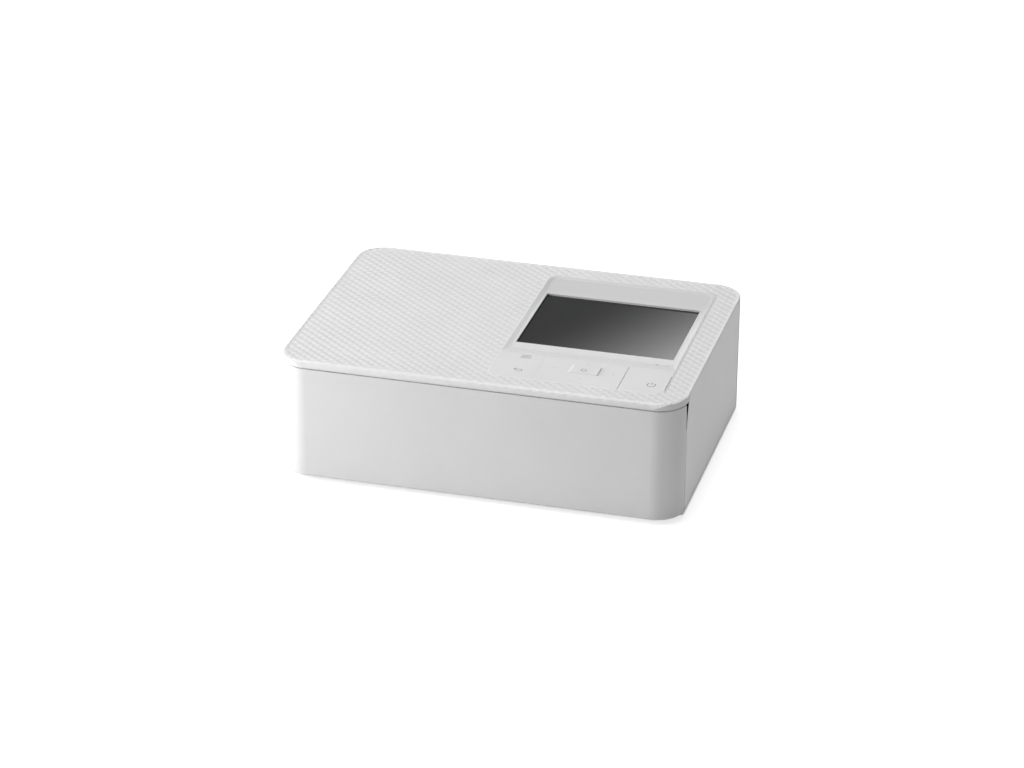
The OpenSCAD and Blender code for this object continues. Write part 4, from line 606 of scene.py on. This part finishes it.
# printed pictograms: places and sizes in mm, unless they say otherwise
markLook = {
    "ink": 0.02 * mm,  # thickness of the ink
    "stroke": 0.42 * mm,  # widths of the strokes: of menu and power, then of the finer ones
    "backStroke": 0.36 * mm,
    "centreStroke": 0.4 * mm,
    "fineStroke": 0.3 * mm,
    "menu": (14.0, -34.2),
    "menuBars": (4.6, 1.25),  # width and pitch
    "back": (14.0, -48.4),
    "backHook": (1.9, 0.9, 0.8),  # reach to the left, radius of the bend, end of the tail
    "backHead": (1.0, 1.95),  # barbs and tip of its arrow head, to the left
    "centre": (41.9, -41.9),
    "centreRadius": 1.15,
    "sideArrow": (12.7, 13.7),  # barbs and tip, from the centre
    "endArrow": (7.0, 7.9),
    "arrowHalf": 0.9,
    "power": (73.2, -47.4, 1.75),  # middle and radius
    "powerBar": (0.5, 0.45),  # its bar starts so far out, and ends so far past the circle
    "wireless": (70.7, -25.6),
    "waves": (0.5, 1.3, 2.1),  # radii
    "waveFoot": 0.9,  # their common middle lies so far below
    "dash": (3.9, 5.5, 0.3),  # from x to x and up, beside them
}
# pad-printed ink on ABS: flat mid grey, a touch glossier than the plastic
inkBase = {"cloudMm": 3, "grainMm": 0.3, "grainDeepMm": 0.004, "bump": 0.1,
           "roughness": (0.34, 0.4), "ior": 1.5}
markInk = mouldedFinish("padPrintedInk", {**inkBase, "dark": "#8D8F92", "light": "#939598"})
# the same ink thinned to a tint: the arrows hardly show
paleInk = mouldedFinish("padPrintedPaleInk", {**inkBase, "dark": "#CFD0D1", "light": "#D3D4D5"})


def flatTop(y):
    return np.full_like(y, lidTop)


def panelTop(y):
    # height of the panel along y: the key strip and the slope to the sunken floor
    start, end = bezelLook["ramp"]
    return np.interp(y, [start * mm, end * mm], [lidTop, lidTop - bezelLook["depth"] * mm])


def stroke(path, width, height, lift):
    # a rectangular profile carried along a path: left, right, and back below; the width falls
    # to a point over the last half width as the square root does, which rounds the ends
    path = np.asarray(path, float) * mm
    run = np.concatenate([[0], np.cumsum(np.hypot(*np.diff(path, axis=0).T))])
    total = run[-1]
    r = width / 2
    ends = r * (1 - np.cos(np.linspace(0, math.pi / 2, 5)))
    bends = run[(run > r) & (run < total - r)]
    steps = np.linspace(r, total - r, 24)
    s = np.unique(np.round(np.concatenate([ends, total - ends, steps, bends]), 8))
    px, py = np.interp(s, run, path[:, 0]), np.interp(s, run, path[:, 1])
    tx, ty = np.gradient(px, s), np.gradient(py, s)
    size = np.hypot(tx, ty)
    tx, ty = tx / size, ty / size
    near = np.minimum(np.minimum(s, total - s), r)
    half = np.sqrt(np.maximum(r * r - (r - near) ** 2, 1e-12))
    left = np.stack([px - ty * half, py + tx * half], -1)
    right = np.stack([px + ty * half, py - tx * half], -1)
    grid = np.stack([np.column_stack([side, height(side[:, 1]) + level]) for side, level in
                     ((left, lift), (right, lift), (right, -lift), (left, -lift))], 1)
    n = len(s)
    first = np.arange(n - 1)[:, None] * 4 + np.arange(4)[None, :]
    turn = np.arange(n - 1)[:, None] * 4 + (np.arange(4)[None, :] + 1) % 4
    faces = np.stack([first, first + 4, turn + 4, turn], -1).reshape(-1, 4)
    caps = [[0, 1, 2, 3], [4 * n - 1, 4 * n - 2, 4 * n - 3, 4 * n - 4]]
    return grid.reshape(-1, 3), faces.tolist() + caps


def addMark(name, paths, body, height=flatTop, width=markLook["stroke"], ink=markInk):
    # several strokes as one piece
    points, faces, start = [], [], 0
    for path in paths:
        p, f = stroke(path, width, height, markLook["ink"])
        points.append(p)
        faces += (np.array(f) + start).tolist()
        start += len(p)
    addPiece(name, np.concatenate(points), faces, ink, body, smooth=False)


def addMarks(look):
    x, y = look["menu"]
    wide, pitch = look["menuBars"]
    bars = [[(x - wide / 2, y + k * pitch), (x + wide / 2, y + k * pitch)] for k in (-1, 0, 1)]
    addMark("menu_mark", bars, "menu_back")

    x, y = look["back"]
    reach, bend, tail = look["backHook"]
    barb, tip = look["backHead"]
    hook = np.concatenate([[(x - reach, y + bend), (x + bend, y + bend)],
                           arc(x + bend, y, bend, 90, -90, 12)[1:], [(x - tail, y - bend)]])
    head = [(x - barb, y + 2 * bend), (x - tip, y + bend), (x - barb, y)]
    addMark("back_mark", [hook, head], "menu_back", width=look["backStroke"])

    x, y = look["centre"]
    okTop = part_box("ok_key")[1][2]
    addMark("centre_mark", [arc(x, y, look["centreRadius"], 0, 355, 40)], "ok",
            lambda y: np.full_like(y, okTop), look["centreStroke"])

    half = look["arrowHalf"]
    barb, tip = look["sideArrow"]
    arrows = [[(x + k * barb, y - half), (x + k * tip, y), (x + k * barb, y + half)]
              for k in (-1, 1)]
    barb, tip = look["endArrow"]
    arrows += [[(x - half, y + k * barb), (x, y + k * tip), (x + half, y + k * barb)]
               for k in (1, -1)]
    addMark("nav_marks", arrows, "nav", width=look["fineStroke"], ink=paleInk)

    x, y, radius = look["power"]
    low, past = look["powerBar"]
    addMark("power_mark", [arc(x, y, radius, 125, 415, 40), [(x, y + low), (x, y + radius + past)]],
            "power")

    x, y = look["wireless"]
    waves = [arc(x, y - look["waveFoot"], r, 50, 130, 14) for r in look["waves"]]
    start, end, up = look["dash"]
    addMark("wireless_mark", waves + [[(x + start, y + up), (x + end, y + up)]], "case", panelTop,
            look["fineStroke"])


addMarks(markLook)
print("marks: six pieces of ink")

# floor, lamps and the card that the screen mirrors
stageLook = {
    "floor": "#DCDCDC",
    "radius": 14,
    "sides": 64,
    "glow": 0.7,  # of white, so that the floor looks white and still keeps a soft shadow
    "horizon": 0.3,  # the room's light level low down
    "dome": 0.1,  # and overhead
    "fade": (0.1, 0.4),  # sines of the elevations between which it changes
}
lamps = {
    "leftBox": {"at": (-0.509, -0.204, 0.18), "to": (-0.03, -0.03, 0.03), "size": (0.26, 0.26),
                "watt": 2.65},
    "topBox": {"at": (-0.05, 0.12, 1.2), "to": (0, 0.02, 0.03), "size": (0.7, 0.7), "watt": 8.7},
    "frontBox": {"at": (-0.35, -0.9, 0.3), "to": (0, 0, 0.03), "size": (0.6, 0.4), "watt": 1.15},
    "rightBox": {"at": (1.1, -0.25, 0.3), "to": (0.03, 0, 0.03), "size": (0.5, 0.5),
                 "watt": 0.15},
}
cardLook = {
    "wide": (-0.24, 0.02), "high": (0.24, 0.46), "y": 0.6,
    "dim": 0.32, "bright": 3.2,
    "turn": (-0.15, 0.1, 2.2),  # where it begins to brighten, the rise's length and its slope
    "slant": (1.6, 0.343),  # the rise leans to the left with height, from this height on
}


def addLamp(name, look):
    # a soft box: a rectangular area lamp that faces its target
    data = bpy.data.lights.new(name, "AREA")
    data.shape = "RECTANGLE"
    data.size, data.size_y = look["size"]
    data.energy = look["watt"]
    obj = bpy.data.objects.new(name, data)
    bpy.context.scene.collection.objects.link(obj)
    obj.location = look["at"]
    away = Vector(look["at"]) - Vector(look["to"])
    obj.rotation_euler = away.to_track_quat("Z", "Y").to_euler()
    obj.visible_camera = False


def studioSurface(tree, shader, look):
    # the camera, gloss and glass also see a white light in it; all else sees the pale surface
    rays = addNode(tree, "ShaderNodeLightPath")
    seen = addNode(tree, "ShaderNodeMath", {"operation": "ADD"},
                   {0: (rays, "Is Camera Ray"), 1: (rays, "Is Glossy Ray")})
    seen = addNode(tree, "ShaderNodeMath", {"operation": "ADD", "use_clamp": True},
                   {0: (seen, "Value"), 1: (rays, "Is Transmission Ray")})
    level = addNode(tree, "ShaderNodeMath", {"operation": "MULTIPLY", 1: look["glow"]},
                    {0: (seen, "Value")})
    glow = addNode(tree, "ShaderNodeEmission", {"Color": (1, 1, 1, 1)},
                   {"Strength": (level, "Value")})
    return addNode(tree, "ShaderNodeAddShader", links={0: (shader, "BSDF"), 1: (glow, "Emission")})


def addFloor(look):
    # a level round sheet at z = 0, in triangles from its middle
    radius, count = look["radius"], look["sides"]
    turn = np.linspace(0, 2 * math.pi, count, endpoint=False)
    edge = np.column_stack([radius * np.cos(turn), radius * np.sin(turn), 0 * turn])
    points = np.concatenate([[[0, 0, 0]], edge])
    k = np.arange(count)
    faces = np.column_stack([0 * k, k + 1, (k + 1) % count + 1]).tolist()
    mesh = bpy.data.meshes.new("floor")
    mesh.from_pydata(points.tolist(), [], faces)
    mat = bpy.data.materials.new("matPaperSweep")
    mat.use_nodes = True
    tree = mat.node_tree
    tree.nodes.clear()
    paper = addNode(tree, "ShaderNodeBsdfDiffuse", {"Color": linear(look["floor"])})
    both = studioSurface(tree, paper, look)
    addNode(tree, "ShaderNodeOutputMaterial", links={"Surface": (both, "Shader")})
    mesh.materials.append(mat)
    obj = bpy.data.objects.new("floor", mesh)
    bpy.context.scene.collection.objects.link(obj)


def addWorld(look):
    # a pale room: white along the horizon, greyer overhead
    world = bpy.data.worlds.new("studio")
    bpy.context.scene.world = world
    world.use_nodes = True
    tree = world.node_tree
    tree.nodes.clear()
    place = addNode(tree, "ShaderNodeTexCoord")
    parts = addNode(tree, "ShaderNodeSeparateXYZ", links={0: (place, "Generated")})
    level = addNode(tree, "ShaderNodeMapRange",
                    {"From Min": look["fade"][0], "From Max": look["fade"][1],
                     "To Min": look["horizon"], "To Max": look["dome"]},
                    {"Value": (parts, "Z")})
    back = addNode(tree, "ShaderNodeBackground", {"Color": (1, 1, 1, 1)},
                   {"Strength": (level, "Result")})
    addNode(tree, "ShaderNodeOutputWorld", links={"Surface": (back, "Background")})


def addCard(look):
    # a lit card behind the object, which the screen mirrors: dim at the left, it brightens to
    # the right with the square of the distance
    x0, x1 = look["wide"]
    z0, z1 = look["high"]
    points = [[x, look["y"], z] for x, z in ((x0, z0), (x1, z0), (x1, z1), (x0, z1))]
    mesh = bpy.data.meshes.new("litCard")
    mesh.from_pydata(points, [], [[0, 1, 2, 3]])
    mat = bpy.data.materials.new("litPaperCard")
    mat.use_nodes = True
    tree = mat.node_tree
    tree.nodes.clear()
    start, length, slope = look["turn"]
    place = addNode(tree, "ShaderNodeTexCoord")
    parts = addNode(tree, "ShaderNodeSeparateXYZ", links={0: (place, "Object")})
    lean, level = look["slant"]
    sloped = addNode(tree, "ShaderNodeMath", {"operation": "MULTIPLY_ADD", 1: lean},
                     {0: (parts, "Z"), 2: (parts, "X")})
    start += lean * level
    along = addNode(tree, "ShaderNodeMapRange",
                    {"From Min": start, "From Max": start + 4 * length,
                     "To Min": 0.0, "To Max": 4.0},
                    {"Value": (sloped, "Value")})
    square = addNode(tree, "ShaderNodeMath", {"operation": "POWER", 1: 2.0}, {0: (along, "Result")})
    rise = addNode(tree, "ShaderNodeMath",
                   {"operation": "MULTIPLY_ADD", 1: slope, 2: look["dim"]},
                   {0: (square, "Value")})
    level = addNode(tree, "ShaderNodeMath", {"operation": "MINIMUM", 1: look["bright"]},
                    {0: (rise, "Value")})
    light = addNode(tree, "ShaderNodeEmission", {"Color": (1, 1, 1, 1)},
                    {"Strength": (level, "Value")})
    addNode(tree, "ShaderNodeOutputMaterial", links={"Surface": (light, "Emission")})
    mesh.materials.append(mat)
    obj = bpy.data.objects.new("litCard", mesh)
    bpy.context.scene.collection.objects.link(obj)
    obj.visible_camera = False


addFloor(stageLook)
addWorld(stageLook)
addCard(cardLook)
for lampName, lampLook in lamps.items():
    addLamp(lampName, lampLook)

cameraLook = {
    "azimuth": 15.064,  # degrees from the front, towards the right
    "elevation": 25.342,
    "roll": 0.363,
    "distance": 1.526169,
    "side": -0.001551,
    "rise": -0.001644,
    "target": (0, 0, 0.0288),
    "lens": 118.944,
}


def addCamera(look):
    # the eye stands on a sphere about the target; side and rise slide it in its own plane
    az, el, roll = (math.radians(look[k]) for k in ("azimuth", "elevation", "roll"))
    back = Vector((math.sin(az) * math.cos(el), -math.cos(az) * math.cos(el), math.sin(el)))
    right = (-back).cross(Vector((0, 0, 1))).normalized()
    up = right.cross(-back)
    r = right * math.cos(roll) + up * math.sin(roll)
    u = -right * math.sin(roll) + up * math.cos(roll)
    data = bpy.data.cameras.new("camera")
    data.lens, data.sensor_width, data.sensor_fit = look["lens"], 36, "HORIZONTAL"
    data.clip_start, data.clip_end = 0.05, 60
    obj = bpy.data.objects.new("camera", data)
    bpy.context.scene.collection.objects.link(obj)
    eye = Vector(look["target"]) + back * look["distance"] + r * look["side"] + u * look["rise"]
    obj.matrix_world = Matrix.Translation(eye) @ Matrix((r, u, back)).transposed().to_4x4()
    return obj


bpy.context.scene.camera = addCamera(cameraLook)
bpy.context.scene.view_settings.view_transform = "Standard"
print("stage: floor, %d lamps and camera" % len(lamps))
